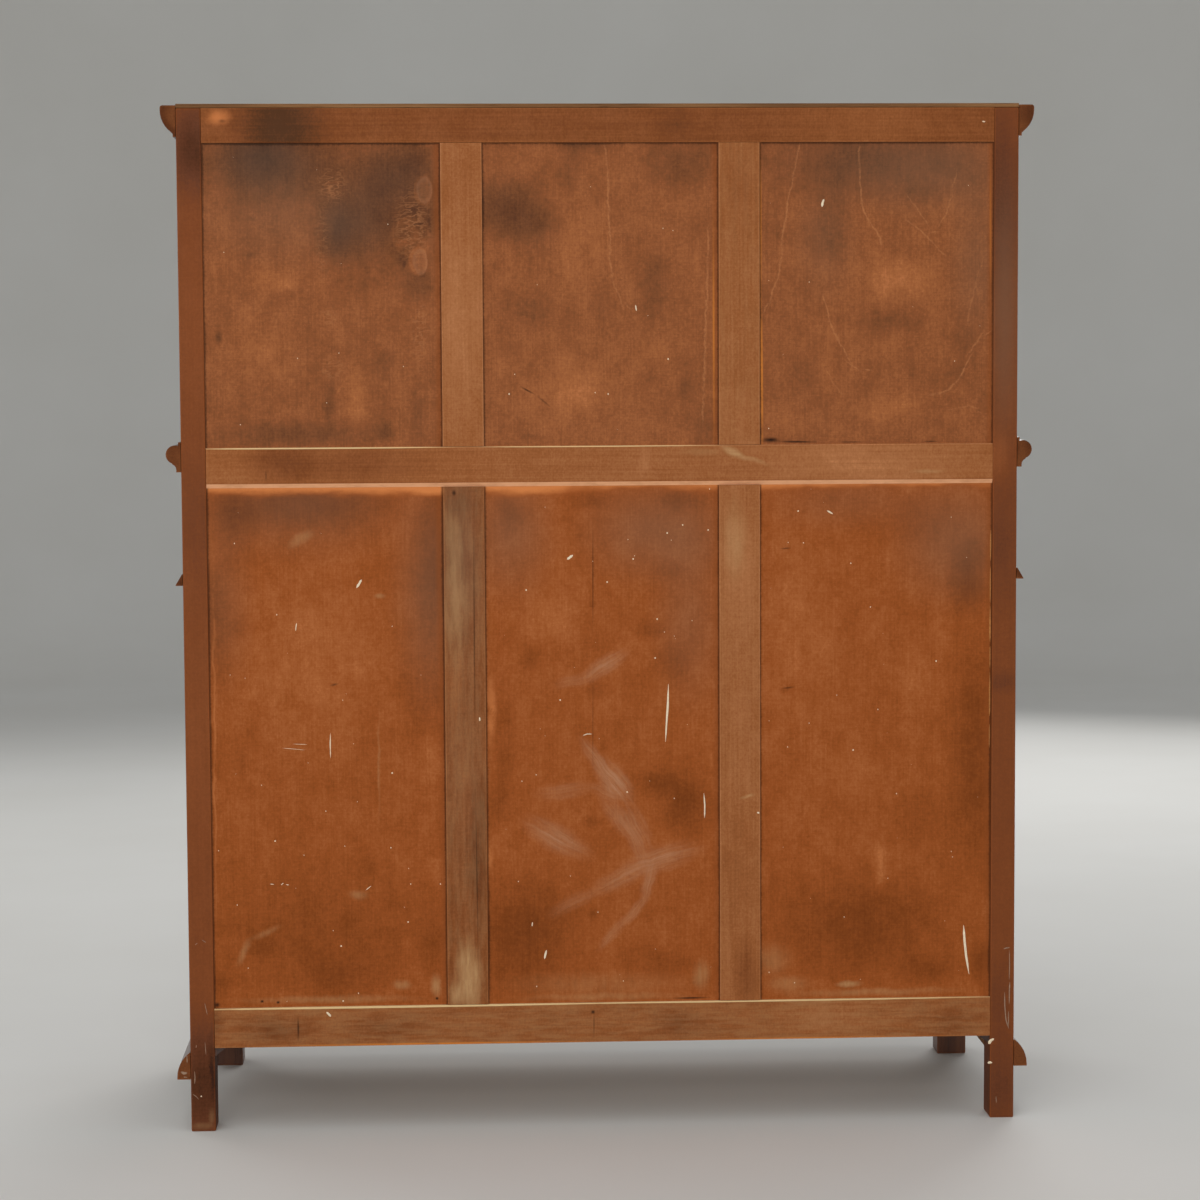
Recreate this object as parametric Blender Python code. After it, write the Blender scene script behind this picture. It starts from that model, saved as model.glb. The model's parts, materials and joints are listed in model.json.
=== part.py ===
"""Court cupboard in stained oak, with a plywood back.

The lower stage holds two drawers over two doors. The upper stage stands back on the ledge, and its canopy
reaches forward over two turned columns. Metres, +Z up. The front faces -Y and the back +Y, and left (-X) and
right (+X) are as seen from the front. The origin is on the floor, under the middle of the overall box.
"""
import itertools
import math

import bmesh
import bpy
from mathutils import Matrix

# Overall sizes
BODY_WIDTH = 1.180  # over the posts
BODY_DEPTH = 0.450  # back of the posts to front of the legs
HEIGHT = 1.450  # floor to the top of the top board
TOP_BOARD_THICK = 0.0055

# Fits
GAP = 0.0003  # between pieces that seat on each other
RUN = 0.0015  # around doors and drawers
PANEL_SLACK = 0.001  # a loose panel in the bottom of its groove
PIN_PLAY = 0.0005  # around a door's pivot pin

# Back frame and its plywood panels
POST_WIDTH = 0.0345
POST_DEPTH = 0.050
BACK_FRAME_THICK = 0.020
TOP_RAIL_HEIGHT = 0.048
WAIST_RAIL_HEIGHT = 0.0563
WAIST_RAIL_DROP = 0.0086  # ledge top to waist rail top
WAIST_CHAMFER = 0.007
BACK_BOTTOM_RAIL_HEIGHT = 0.057
MUNTIN_WIDTH = 0.058
PLY_THICK = 0.005
PLY_RECESS = 0.004
GROOVE_DEPTH = 0.008
BLOCK_WIDTH = 0.016
BLOCK_HEIGHT = 0.012
BLOCK_DEPTH = 0.030

# Levels above the floor
SKIRT_BOTTOM = 0.0755  # the clear height of the legs
BOTTOM_RAIL_TOP = 0.177
SHELF_TOP = 0.480
UPPER_STAGE_HEIGHT = 0.469  # ledge to the top of the top board
CANOPY_HEIGHT = 0.140

# Boards
LEDGE_THICK = 0.020
BOTTOM_THICK = 0.018
SHELF_THICK = 0.016
SHELF_SETBACK = 0.015
CLEAT = 0.018
DUST_THICK = 0.015
GUIDE_HEIGHT = 0.020
SOFFIT_THICK = 0.018
SOFFIT_LAP = 0.045

# Legs, sides and front frame
LEG_WIDTH = 0.045
LEG_DEPTH = 0.045
SIDE_THICK = 0.020
SIDE_STILE = 0.050
SIDE_RAIL = 0.060
SIDE_RECESS = 0.007
FRONT_RAIL_THICK = 0.026
UPPER_FRONT_RAIL_HEIGHT = 0.030
DRAWER_OPENING = 0.134
DRAWER_RAIL_HEIGHT = 0.032
DIVIDER_WIDTH = 0.036
FRIEZE_THICK = 0.020
UPPER_SETBACK = 0.140
UPPER_STILE_WIDTH = 0.125
UPPER_STILE_THICK = 0.022

# Turned columns under the canopy
COLUMN_INSET = 0.046
COLUMN_FOOT_RADIUS = 0.034
COLUMN_FOOT_HEIGHT = 0.020
COLUMN_RING_RADIUS = 0.024
COLUMN_RING_HEIGHT = 0.012
COLUMN_NECK_RADIUS = 0.015
COLUMN_NECK_HEIGHT = 0.026
COLUMN_BULB_RADIUS = 0.042
COLUMN_GIRDLE_DEPTH = 0.005
COLUMN_GIRDLE_HEIGHT = 0.012
COLUMN_SIDES = 24
BULB_STEPS = 6

# Doors and drawers
DOOR_THICK = 0.022
DOOR_STILE = 0.062
DOOR_INSET = 0.002
DOOR_MEETING_GAP = 0.002
DOOR_PANEL_EDGE = 0.006
DOOR_PANEL_SETBACK = 0.010
PANEL_MARGIN = 0.030
PANEL_RISE = 0.004
PANEL_STEP = 0.0025
HINGE_EDGE_STEPS = 8
PIN_RADIUS = 0.005
PIN_LENGTH = 0.012
PIN_ROOT = 0.008
PIN_SIDES = 12
DRAWER_FRONT_THICK = 0.020
DRAWER_WALL = 0.010
DRAWER_FLOOR_THICK = 0.006
DRAWER_WALL_DROP = 0.012
DRAWER_BACK_SPACE = 0.015
KNOB_LENGTH = 0.022
KNOB_RADIUS = 0.015
KNOB_NECK_RADIUS = 0.008
KNOB_FLANGE_RADIUS = 0.012
KNOB_FLANGE_HEIGHT = 0.003
KNOB_NECK_HEIGHT = 0.009
KNOB_SIDES = 16
KNOB_STEPS = 4

# Mouldings that run round the front and both sides
CORNICE_DROP = 0.002  # below the top of the top board
CORNICE_HEIGHT = 0.0435
CORNICE_REACH = 0.0215
CORNICE_NOSE = 0.0035
CORNICE_BEAD = 0.004
CORNICE_FILLET = 0.007
WAIST_HEIGHT = 0.042
WAIST_REACH = 0.0210
WAIST_NOSE_RADIUS = 0.013
WAIST_NOSE_DROP = 0.0173  # from the top of the moulding to the middle of its nose
WAIST_FILLET = 0.0035
WAIST_FOOT = 0.0065
WEATHER_DROP = 0.0014
WEATHER_HEIGHT = 0.0160
WEATHER_REACH = 0.0100
BASE_HEIGHT = 0.0385
BASE_REACH = 0.0190
BASE_LIP = 0.003
MOULDING_EDGE = 0.0012  # the thin edge where a sloping face dies into the side
NOSE_TURN = 70.0  # degrees that the waist moulding's nose turns under
ARC_STEPS = 6

# Finishes: linear colour and roughness
POST_LOOK = ((0.130, 0.042, 0.020), 0.55)
FRAME_LOOK = ((0.235, 0.088, 0.036), 0.60)
PLY_LOOK = ((0.205, 0.072, 0.024), 0.55)
FRONT_LOOK = ((0.120, 0.044, 0.019), 0.45)
INSIDE_LOOK = ((0.330, 0.190, 0.100), 0.70)
KNOB_LOOK = ((0.085, 0.032, 0.015), 0.40)

# Planes that several pieces share
HALF = BODY_WIDTH / 2
POST_IN = HALF - POST_WIDTH
LEG_IN = HALF - LEG_WIDTH
SIDE_IN = HALF - SIDE_THICK
KNOB_REACH = KNOB_LENGTH + GAP - DOOR_INSET
FRONT_REACH = max(CORNICE_REACH, WAIST_REACH, WEATHER_REACH, BASE_REACH, KNOB_REACH)
Y_BACK = (BODY_DEPTH + FRONT_REACH) / 2
Y_FRONT = Y_BACK - BODY_DEPTH
Y_UPPER = Y_FRONT + UPPER_SETBACK
POST_FRONT = Y_BACK - POST_DEPTH
LEG_BACK = Y_FRONT + LEG_DEPTH
RAIL_BACK = Y_FRONT + FRONT_RAIL_THICK
INNER_BACK = Y_BACK - BACK_FRAME_THICK
PLY_BACK = Y_BACK - PLY_RECESS
PLY_FRONT = PLY_BACK - PLY_THICK
CARCASE_TOP = HEIGHT - TOP_BOARD_THICK - GAP
CANOPY_BOTTOM = HEIGHT - CANOPY_HEIGHT
LEDGE_TOP = HEIGHT - UPPER_STAGE_HEIGHT
LEDGE_BOTTOM = LEDGE_TOP - LEDGE_THICK
WAIST_RAIL_TOP = LEDGE_TOP - WAIST_RAIL_DROP
WAIST_RAIL_BOTTOM = WAIST_RAIL_TOP - WAIST_RAIL_HEIGHT
TOP_RAIL_BOTTOM = CARCASE_TOP - TOP_RAIL_HEIGHT
BACK_BOTTOM_RAIL_BOTTOM = BOTTOM_RAIL_TOP - BACK_BOTTOM_RAIL_HEIGHT
DRAWER_TOP = LEDGE_BOTTOM - UPPER_FRONT_RAIL_HEIGHT
DRAWER_SILL = DRAWER_TOP - DRAWER_OPENING
DOOR_HEAD = DRAWER_SILL - DRAWER_RAIL_HEIGHT
UPPER_OPENING = HALF - UPPER_STILE_WIDTH
PANEL_WIDTH = (2 * POST_IN - 2 * MUNTIN_WIDTH) / 3
MUNTIN_IN = PANEL_WIDTH / 2
MUNTIN_OUT = MUNTIN_IN + MUNTIN_WIDTH
PANEL_TUCK = GROOVE_DEPTH - PANEL_SLACK
SIDES = (("left", -1), ("right", 1))


def clear_scene():
    """Start from an empty scene."""
    for old in list(bpy.data.objects):
        bpy.data.objects.remove(old)


def finish(name, colour, roughness):
    """The piece's own material."""
    material = bpy.data.materials.new(name + "_finish")
    material.use_nodes = True
    shader = material.node_tree.nodes["Principled BSDF"]
    shader.inputs["Base Color"].default_value = (*colour, 1.0)
    shader.inputs["Roughness"].default_value = roughness
    shader.inputs["Metallic"].default_value = 0.0
    return material


def to_mesh(bm):
    """Close a bmesh with its faces pointing out."""
    bmesh.ops.recalc_face_normals(bm, faces=bm.faces)
    mesh = bpy.data.meshes.new("piece")
    bm.to_mesh(mesh)
    bm.free()
    return mesh


def piece(name, mesh, look, pivot=None):
    """Put a mesh that is drawn in place into the scene, hung on its pivot if it moves."""
    mesh.name = name
    mesh.materials.append(finish(name, *look))
    obj = bpy.data.objects.new(name, mesh)
    bpy.context.scene.collection.objects.link(obj)
    if pivot is not None:
        mesh.transform(Matrix.Translation(-pivot.location))
        obj.parent = pivot
    return obj


def pair(name, mesh, look, pivots=None):
    """The right-hand piece and its mirror image on the left."""
    twin = mesh.copy()
    twin.transform(Matrix.Scale(-1.0, 4, (1.0, 0.0, 0.0)))
    twin.flip_normals()
    pivots = pivots or {"left": None, "right": None}
    left = piece(name + "_left", twin, look, pivots["left"])
    right = piece(name + "_right", mesh, look, pivots["right"])
    return {"left": left, "right": right}


def pivot_at(name, x, y, z):
    """An empty on a joint's axis."""
    empty = bpy.data.objects.new(name, None)
    empty.location = (x, y, z)
    empty.empty_display_size = 0.05
    bpy.context.scene.collection.objects.link(empty)
    return empty


def smooth(obj, degrees=35.0):
    """Shade a turned piece smooth between its arrises."""
    obj.data.shade_smooth()
    obj.data.set_sharp_from_angle(angle=math.radians(degrees))


def board(xs, ys, zs, keep=None, bend=None):
    """A squarely cut piece: the blocks between the planes xs, ys and zs whose middles keep(x, y, z) allows.

    bend(x, y, z) can move a corner, to round or slope an arris.
    """
    planes = [sorted(set(values)) for values in (xs, ys, zs)]
    kept = set()
    for cell in itertools.product(*(range(len(values) - 1) for values in planes)):
        middle = [(planes[a][cell[a]] + planes[a][cell[a] + 1]) / 2 for a in range(3)]
        if keep is None or keep(*middle):
            kept.add(cell)
    bm = bmesh.new()
    corners = {}

    def corner(index):
        if index not in corners:
            point = [planes[a][index[a]] for a in range(3)]
            corners[index] = bm.verts.new(bend(*point) if bend else point)
        return corners[index]

    for cell in sorted(kept):
        for axis, side in itertools.product(range(3), (0, 1)):
            beyond = list(cell)
            beyond[axis] += 2 * side - 1
            if tuple(beyond) in kept:
                continue
            across, along = (axis + 1) % 3, (axis + 2) % 3
            loop = []
            for step_across, step_along in ((0, 0), (1, 0), (1, 1), (0, 1)):
                index = list(cell)
                index[axis] += side
                index[across] += step_across
                index[along] += step_along
                loop.append(corner(tuple(index)))
            bm.faces.new(loop if side else loop[::-1])
    bmesh.ops.dissolve_limit(bm, angle_limit=math.radians(0.5), verts=bm.verts, edges=bm.edges)
    return to_mesh(bm)


def skin(rings):
    """A closed mesh over equal rings of points."""
    bm = bmesh.new()
    loops = [[bm.verts.new(point) for point in ring] for ring in rings]
    count = len(loops[0])
    for low, high in zip(loops, loops[1:]):
        for n in range(count):
            after = (n + 1) % count
            bm.faces.new((low[n], low[after], high[after], high[n]))
    bm.faces.new(loops[0][::-1])
    bm.faces.new(loops[-1])
    return to_mesh(bm)


def turned(profile, sides):
    """A piece turned about Z from (radius, height) points, from its flat foot to its flat or pointed top."""
    angles = [2 * math.pi * n / sides for n in range(sides)]
    rings = [[(r * math.cos(a), r * math.sin(a), z) for a in angles] for r, z in profile]
    return skin(rings)


def rod(bm, x, y, low, high, radius):
    """Add an upright rod to a bmesh."""
    place = Matrix.Translation((x, y, (low + high) / 2))
    bmesh.ops.create_cone(
        bm, cap_ends=True, segments=PIN_SIDES, radius1=radius, radius2=radius, depth=high - low, matrix=place
    )


def use_tool(obj, bm, operation):
    """Join or cut a piece with a hidden tool that moves with it."""
    tool = bpy.data.objects.new(obj.name + "_tool", to_mesh(bm))
    bpy.context.scene.collection.objects.link(tool)
    if obj.parent is not None:
        tool.data.transform(Matrix.Translation(-obj.parent.location))
        tool.parent = obj.parent
    tool.hide_render = True
    tool.display_type = "WIRE"
    step = obj.modifiers.new("pins", "BOOLEAN")
    step.operation = operation
    step.object = tool


def swell(tip, end, steps):
    """Points on the arc that leaves tip upright and bends in to end, both as (reach, height)."""
    across = tip[0] - end[0]
    up = end[1] - tip[1]
    radius = (across * across + up * up) / (2 * across)
    turn = math.asin(up / radius)
    points = []
    for n in range(steps + 1):
        angle = turn * n / steps
        points.append((tip[0] - radius * (1 - math.cos(angle)), tip[1] + radius * math.sin(angle)))
    return points


def arc(centre, radius, start, stop, steps):
    """Points on an arc between two angles in degrees."""
    angles = [math.radians(start + (stop - start) * n / steps) for n in range(steps + 1)]
    return [(centre[0] + radius * math.cos(a), centre[1] + radius * math.sin(a)) for a in angles]


def back_posts():
    """The posts run from floor to top, grooved above the foot for the rails and panels."""
    def keep(x, y, z):
        in_groove = x < POST_IN + GROOVE_DEPTH and PLY_FRONT - GAP < y < PLY_BACK + GAP
        return not (in_groove and z > BACK_BOTTOM_RAIL_BOTTOM - GAP)

    xs = (POST_IN, POST_IN + GROOVE_DEPTH, HALF)
    ys = (POST_FRONT, PLY_FRONT - GAP, PLY_BACK + GAP, Y_BACK)
    zs = (0.0, BACK_BOTTOM_RAIL_BOTTOM - GAP, CARCASE_TOP)
    pair("back_post", board(xs, ys, zs, keep), POST_LOOK)


def back_rail(name, bottom, top, grooved_below, grooved_above, chamfer=0.0):
    """A rail between the posts, with a tongue on each end and a groove for the panels in its edges."""
    shoulder = POST_IN - GAP
    tongue = POST_IN + GROOVE_DEPTH - PANEL_SLACK

    def keep(x, y, z):
        in_low_groove = grooved_below and z < bottom + GROOVE_DEPTH
        in_high_groove = grooved_above and z > top - GROOVE_DEPTH
        beside_groove = in_low_groove or in_high_groove
        if abs(x) > shoulder:
            return PLY_FRONT < y < PLY_BACK and not beside_groove
        return not (beside_groove and PLY_FRONT - GAP < y < PLY_BACK + GAP)

    xs = (-tongue, -shoulder, shoulder, tongue)
    ys = (INNER_BACK, PLY_FRONT - GAP, PLY_FRONT, PLY_BACK, PLY_BACK + GAP, Y_BACK)
    zs = (bottom, bottom + GROOVE_DEPTH, top - GROOVE_DEPTH, top)

    def slope(x, y, z):
        return (x, y, z + chamfer) if y == Y_BACK and z == bottom else (x, y, z)

    piece(name, board(xs, ys, zs, keep, slope), FRAME_LOOK)


def muntins(name, bottom, top):
    """Upright bars between the panels, tongued into the rails and grooved on both sides."""
    def keep(x, y, z):
        in_groove = abs(x - (MUNTIN_IN + MUNTIN_OUT) / 2) > MUNTIN_WIDTH / 2 - GROOVE_DEPTH
        if not bottom + GAP < z < top - GAP:
            return PLY_FRONT < y < PLY_BACK and not in_groove
        return not (in_groove and PLY_FRONT - GAP < y < PLY_BACK + GAP)

    tongue = GROOVE_DEPTH - PANEL_SLACK
    xs = (MUNTIN_IN, MUNTIN_IN + GROOVE_DEPTH, MUNTIN_OUT - GROOVE_DEPTH, MUNTIN_OUT)
    ys = (INNER_BACK, PLY_FRONT - GAP, PLY_FRONT, PLY_BACK, PLY_BACK + GAP, Y_BACK)
    zs = (bottom - tongue, bottom + GAP, top - GAP, top + tongue)
    pair(name, board(xs, ys, zs, keep), FRAME_LOOK)


def back_panels(name, bottom, top):
    """Three plywood panels, loose in the grooves round each opening."""
    ys = (PLY_FRONT, PLY_BACK)
    zs = (bottom - PANEL_TUCK, top + PANEL_TUCK)
    middle = MUNTIN_IN + PANEL_TUCK
    piece(name + "_middle", board((-middle, middle), ys, zs), PLY_LOOK)
    pair(name, board((MUNTIN_OUT - PANEL_TUCK, POST_IN + PANEL_TUCK), ys, zs), PLY_LOOK)


def corner_blocks():
    """Small glued blocks under the back bottom rail, against the legs."""
    top = BACK_BOTTOM_RAIL_BOTTOM - GAP
    outside = POST_IN - GAP
    corner = ((outside - BLOCK_WIDTH, top), (outside, top), (outside, top - BLOCK_HEIGHT))
    back = Y_BACK - PLY_RECESS
    rings = [[(x, y, z) for x, z in corner] for y in (back - BLOCK_DEPTH, back)]
    pair("corner_block", skin(rings), FRAME_LOOK)


def back():
    """The framed back that the cupboard turns to the wall."""
    back_posts()
    back_rail("back_top_rail", TOP_RAIL_BOTTOM, CARCASE_TOP, True, False)
    back_rail("back_waist_rail", WAIST_RAIL_BOTTOM, WAIST_RAIL_TOP, True, True, WAIST_CHAMFER)
    back_rail("back_bottom_rail", BACK_BOTTOM_RAIL_BOTTOM, BOTTOM_RAIL_TOP, False, True)
    muntins("upper_muntin", WAIST_RAIL_TOP, TOP_RAIL_BOTTOM)
    muntins("lower_muntin", BOTTOM_RAIL_TOP, WAIST_RAIL_BOTTOM)
    back_panels("upper_back_panel", WAIST_RAIL_TOP, TOP_RAIL_BOTTOM)
    back_panels("lower_back_panel", BOTTOM_RAIL_TOP, WAIST_RAIL_BOTTOM)
    corner_blocks()


def legs_and_sides():
    """Front legs, and framed sides with sunk fields between the legs and the posts."""
    pair("front_leg", board((LEG_IN, HALF), (Y_FRONT, LEG_BACK), (0.0, LEDGE_BOTTOM - GAP)), FRONT_LOOK)

    front = LEG_BACK + GAP
    rear = POST_FRONT - GAP
    top = LEDGE_BOTTOM - GAP
    field_bottom = BOTTOM_RAIL_TOP
    field_top = top - SIDE_RAIL
    xs = (SIDE_IN, HALF - SIDE_RECESS, HALF)
    ys = (front, front + SIDE_STILE, rear - SIDE_STILE, rear)
    zs = (SKIRT_BOTTOM, field_bottom, DOOR_HEAD, DRAWER_SILL, field_top, top)

    def keep_lower(x, y, z):
        in_width = front + SIDE_STILE < y < rear - SIDE_STILE
        in_height = field_bottom < z < DOOR_HEAD or DRAWER_SILL < z < field_top
        return not (x > HALF - SIDE_RECESS and in_width and in_height)

    pair("lower_side", board(xs, ys, zs, keep_lower), FRONT_LOOK)

    upper_front = Y_UPPER + UPPER_STILE_THICK + GAP
    canopy_front = Y_FRONT + FRIEZE_THICK + GAP
    sill = LEDGE_TOP + GAP
    ys = (canopy_front, upper_front, upper_front + SIDE_STILE, rear - SIDE_STILE, rear)
    zs = (sill, sill + SIDE_RAIL, CANOPY_BOTTOM, CARCASE_TOP)

    def keep_upper(x, y, z):
        if y < upper_front:
            return z > CANOPY_BOTTOM
        in_width = upper_front + SIDE_STILE < y < rear - SIDE_STILE
        in_height = sill + SIDE_RAIL < z < CANOPY_BOTTOM
        return not (x > HALF - SIDE_RECESS and in_width and in_height)

    pair("upper_side", board(xs, ys, zs, keep_upper), FRONT_LOOK)


def in_post(x, y):
    """Where the back posts stand, with their seating gap."""
    return abs(x) > POST_IN - GAP and y > POST_FRONT - GAP


def in_leg(x, y):
    """Where the front legs stand, with their seating gap."""
    return abs(x) > LEG_IN - GAP and y < LEG_BACK + GAP


def mirrored(*values):
    """The same planes on both sides of the middle."""
    return tuple(-value for value in values) + values


def boards():
    """The level boards, cut round the posts and legs where they pass."""
    piece("top_board", board((-HALF, HALF), (Y_FRONT, Y_BACK), (CARCASE_TOP + GAP, HEIGHT)), POST_LOOK)

    rear = INNER_BACK - GAP
    ys = (Y_FRONT, POST_FRONT - GAP, rear)
    xs = mirrored(POST_IN - GAP, HALF)
    ledge_mesh = board(xs, ys, (LEDGE_BOTTOM, LEDGE_TOP), lambda x, y, z: not in_post(x, y))
    ledge = piece("ledge_board", ledge_mesh, FRONT_LOOK)

    inside = SIDE_IN - GAP
    front = RAIL_BACK + GAP
    xs = mirrored(LEG_IN - GAP, POST_IN - GAP, inside)
    ys = (front, LEG_BACK + GAP, POST_FRONT - GAP, rear)
    zs = (BOTTOM_RAIL_TOP - BOTTOM_THICK, BOTTOM_RAIL_TOP)
    floor = board(xs, ys, zs, lambda x, y, z: not (in_post(x, y) or in_leg(x, y)))
    piece("bottom_board", floor, INSIDE_LOOK)

    def keep_dust(x, y, z):
        if in_post(x, y) or in_leg(x, y):
            return False
        return z < DRAWER_SILL or (abs(x) > LEG_IN and LEG_BACK + GAP < y < POST_FRONT - GAP)

    xs = mirrored(LEG_IN - GAP, LEG_IN, POST_IN - GAP, inside)
    zs = (DRAWER_SILL - DUST_THICK, DRAWER_SILL, DRAWER_SILL + GUIDE_HEIGHT)
    piece("dust_board", board(xs, ys, zs, keep_dust), INSIDE_LOOK)

    shelf_front = LEG_BACK + SHELF_SETBACK
    shelf_bottom = SHELF_TOP - SHELF_THICK
    ys = (shelf_front, POST_FRONT - GAP, rear)
    xs = mirrored(POST_IN - GAP, inside)
    shelf = board(xs, ys, (shelf_bottom, SHELF_TOP), lambda x, y, z: not in_post(x, y))
    piece("shelf", shelf, INSIDE_LOOK)
    cleat_top = shelf_bottom - GAP
    cleat = board((inside - CLEAT, inside), (shelf_front, POST_FRONT - GAP), (cleat_top - CLEAT, cleat_top))
    pair("shelf_cleat", cleat, INSIDE_LOOK)

    ys = (Y_FRONT + FRIEZE_THICK + GAP, Y_UPPER + SOFFIT_LAP)
    zs = (CANOPY_BOTTOM, CANOPY_BOTTOM + SOFFIT_THICK)
    soffit = piece("soffit_board", board((-inside, inside), ys, zs), FRONT_LOOK)
    return ledge, soffit


def front_frame():
    """The fixed pieces of the front: rails, divider, upper stiles and frieze."""
    span = (-LEG_IN + GAP, LEG_IN - GAP)
    depth = (Y_FRONT, RAIL_BACK)
    piece("upper_front_rail", board(span, depth, (DRAWER_TOP, LEDGE_BOTTOM - GAP)), FRONT_LOOK)
    sill = piece("drawer_rail", board(span, depth, (DOOR_HEAD, DRAWER_SILL)), FRONT_LOOK)
    foot = piece("bottom_front_rail", board(span, depth, (SKIRT_BOTTOM, BOTTOM_RAIL_TOP)), FRONT_LOOK)

    half = DIVIDER_WIDTH / 2
    low = DRAWER_SILL + GAP
    ys = (Y_FRONT, RAIL_BACK, INNER_BACK - GAP)
    zs = (low, low + GUIDE_HEIGHT, DRAWER_TOP - GAP)
    divider = board((-half, half), ys, zs, lambda x, y, z: y < RAIL_BACK or z < low + GUIDE_HEIGHT)
    piece("drawer_divider", divider, FRONT_LOOK)

    zs = (LEDGE_TOP + GAP, CANOPY_BOTTOM - GAP)
    stile = board((UPPER_OPENING, HALF), (Y_UPPER, Y_UPPER + UPPER_STILE_THICK), zs)
    pair("upper_stile", stile, FRONT_LOOK)
    ys = (Y_FRONT, Y_FRONT + FRIEZE_THICK)
    piece("frieze", board((-HALF, HALF), ys, (CANOPY_BOTTOM, CARCASE_TOP)), FRONT_LOOK)
    return sill, foot


def column_profile():
    """Foot, ring, neck, covered-cup bulb with a girdle, neck, ring and cap, as (radius, height)."""
    low = LEDGE_TOP + GAP
    high = CANOPY_BOTTOM - GAP

    def end_points(level, direction):
        ring = level + direction * COLUMN_FOOT_HEIGHT
        neck = ring + direction * COLUMN_RING_HEIGHT
        bulb = neck + direction * COLUMN_NECK_HEIGHT
        middle = (ring + neck) / 2
        points = [(COLUMN_FOOT_RADIUS, level), (COLUMN_FOOT_RADIUS, ring), (COLUMN_NECK_RADIUS, ring)]
        points += [(COLUMN_RING_RADIUS, middle), (COLUMN_NECK_RADIUS, neck), (COLUMN_NECK_RADIUS, bulb)]
        return points, bulb

    foot, bulb_low = end_points(low, 1)
    cap, bulb_high = end_points(high, -1)
    middle = (bulb_low + bulb_high) / 2
    swelling = COLUMN_BULB_RADIUS - COLUMN_NECK_RADIUS
    cup = []
    for n in range(1, BULB_STEPS + 1):
        angle = math.pi / 2 * n / BULB_STEPS
        rise = (1 - math.cos(angle)) * (middle - COLUMN_GIRDLE_HEIGHT / 2 - bulb_low)
        cup.append((COLUMN_NECK_RADIUS + swelling * math.sin(angle), bulb_low + rise))
    waist = COLUMN_BULB_RADIUS - COLUMN_GIRDLE_DEPTH
    girdle = [(waist, middle - COLUMN_GIRDLE_HEIGHT / 2), (waist, middle + COLUMN_GIRDLE_HEIGHT / 2)]
    cover = [(radius, 2 * middle - height) for radius, height in reversed(cup)]
    return foot + cup + girdle + cover + cap[::-1]


def columns():
    """Turned columns at the front corners of the ledge."""
    mesh = turned(column_profile(), COLUMN_SIDES)
    mesh.transform(Matrix.Translation((HALF - COLUMN_INSET, Y_FRONT + COLUMN_INSET, 0.0)))
    for obj in pair("column", mesh, FRONT_LOOK).values():
        smooth(obj)


def run_moulding(name, outline, bottom):
    """Run a moulding's section, as (reach, height), along one side, the front and the other side."""
    left_run = ((-HALF, Y_BACK, -1, 0), (-HALF, Y_FRONT, -1, -1))
    right_run = ((HALF, Y_FRONT, 1, -1), (HALF, Y_BACK, 1, 0))
    rings = []
    for x, y, out_x, out_y in left_run + right_run:
        rings.append([(x + out_x * u, y + out_y * u, bottom + w) for u, w in outline])
    obj = piece(name, skin(rings), POST_LOOK)
    smooth(obj)


def mouldings():
    """Cornice, waist, weather and base mouldings."""
    nose_low = CORNICE_HEIGHT - 2 * CORNICE_NOSE
    face = swell((CORNICE_REACH, -nose_low), (CORNICE_FILLET, -CORNICE_FILLET), ARC_STEPS)
    nose_centre = (CORNICE_REACH - CORNICE_NOSE, CORNICE_HEIGHT - CORNICE_NOSE)
    outline = [(GAP, 0.0), (CORNICE_BEAD, 0.0), (CORNICE_BEAD, CORNICE_BEAD)]
    outline += [(reach, -height) for reach, height in reversed(face)]
    outline += arc(nose_centre, CORNICE_NOSE, 0.0, 90.0, ARC_STEPS // 2)
    outline += [(GAP, CORNICE_HEIGHT)]
    run_moulding("cornice_moulding", outline, HEIGHT - CORNICE_DROP - CORNICE_HEIGHT)

    nose_middle = WAIST_HEIGHT - WAIST_NOSE_DROP
    nose_reach = WAIST_REACH - WAIST_NOSE_RADIUS
    cove_top = nose_middle - WAIST_NOSE_RADIUS
    cove = cove_top - WAIST_FILLET
    cove_centre = (WAIST_FOOT + cove, WAIST_FILLET)
    outline = [(GAP, 0.0), (WAIST_FOOT, 0.0)]
    outline += arc(cove_centre, cove, 180.0, 180.0 - NOSE_TURN, ARC_STEPS // 2)
    outline += arc((nose_reach, nose_middle), WAIST_NOSE_RADIUS, -NOSE_TURN, 180.0 - NOSE_TURN, 2 * ARC_STEPS)
    outline += [(WAIST_FILLET, WAIST_HEIGHT - WAIST_FILLET)]
    outline += [(WAIST_FILLET, WAIST_HEIGHT), (GAP, WAIST_HEIGHT)]
    run_moulding("waist_moulding", outline, LEDGE_TOP - WAIST_HEIGHT)

    outline = [(GAP, 0.0), (WEATHER_REACH, 0.0), (WEATHER_REACH, MOULDING_EDGE)]
    outline += [(MOULDING_EDGE, WEATHER_HEIGHT), (GAP, WEATHER_HEIGHT)]
    run_moulding("weather_moulding", outline, DRAWER_SILL - WEATHER_DROP - WEATHER_HEIGHT)

    outline = [(GAP, 0.0), (BASE_REACH, 0.0)]
    outline += swell((BASE_REACH, BASE_LIP), (MOULDING_EDGE, BASE_HEIGHT), ARC_STEPS)
    outline += [(GAP, BASE_HEIGHT)]
    run_moulding("base_moulding", outline, SKIRT_BOTTOM)


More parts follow.
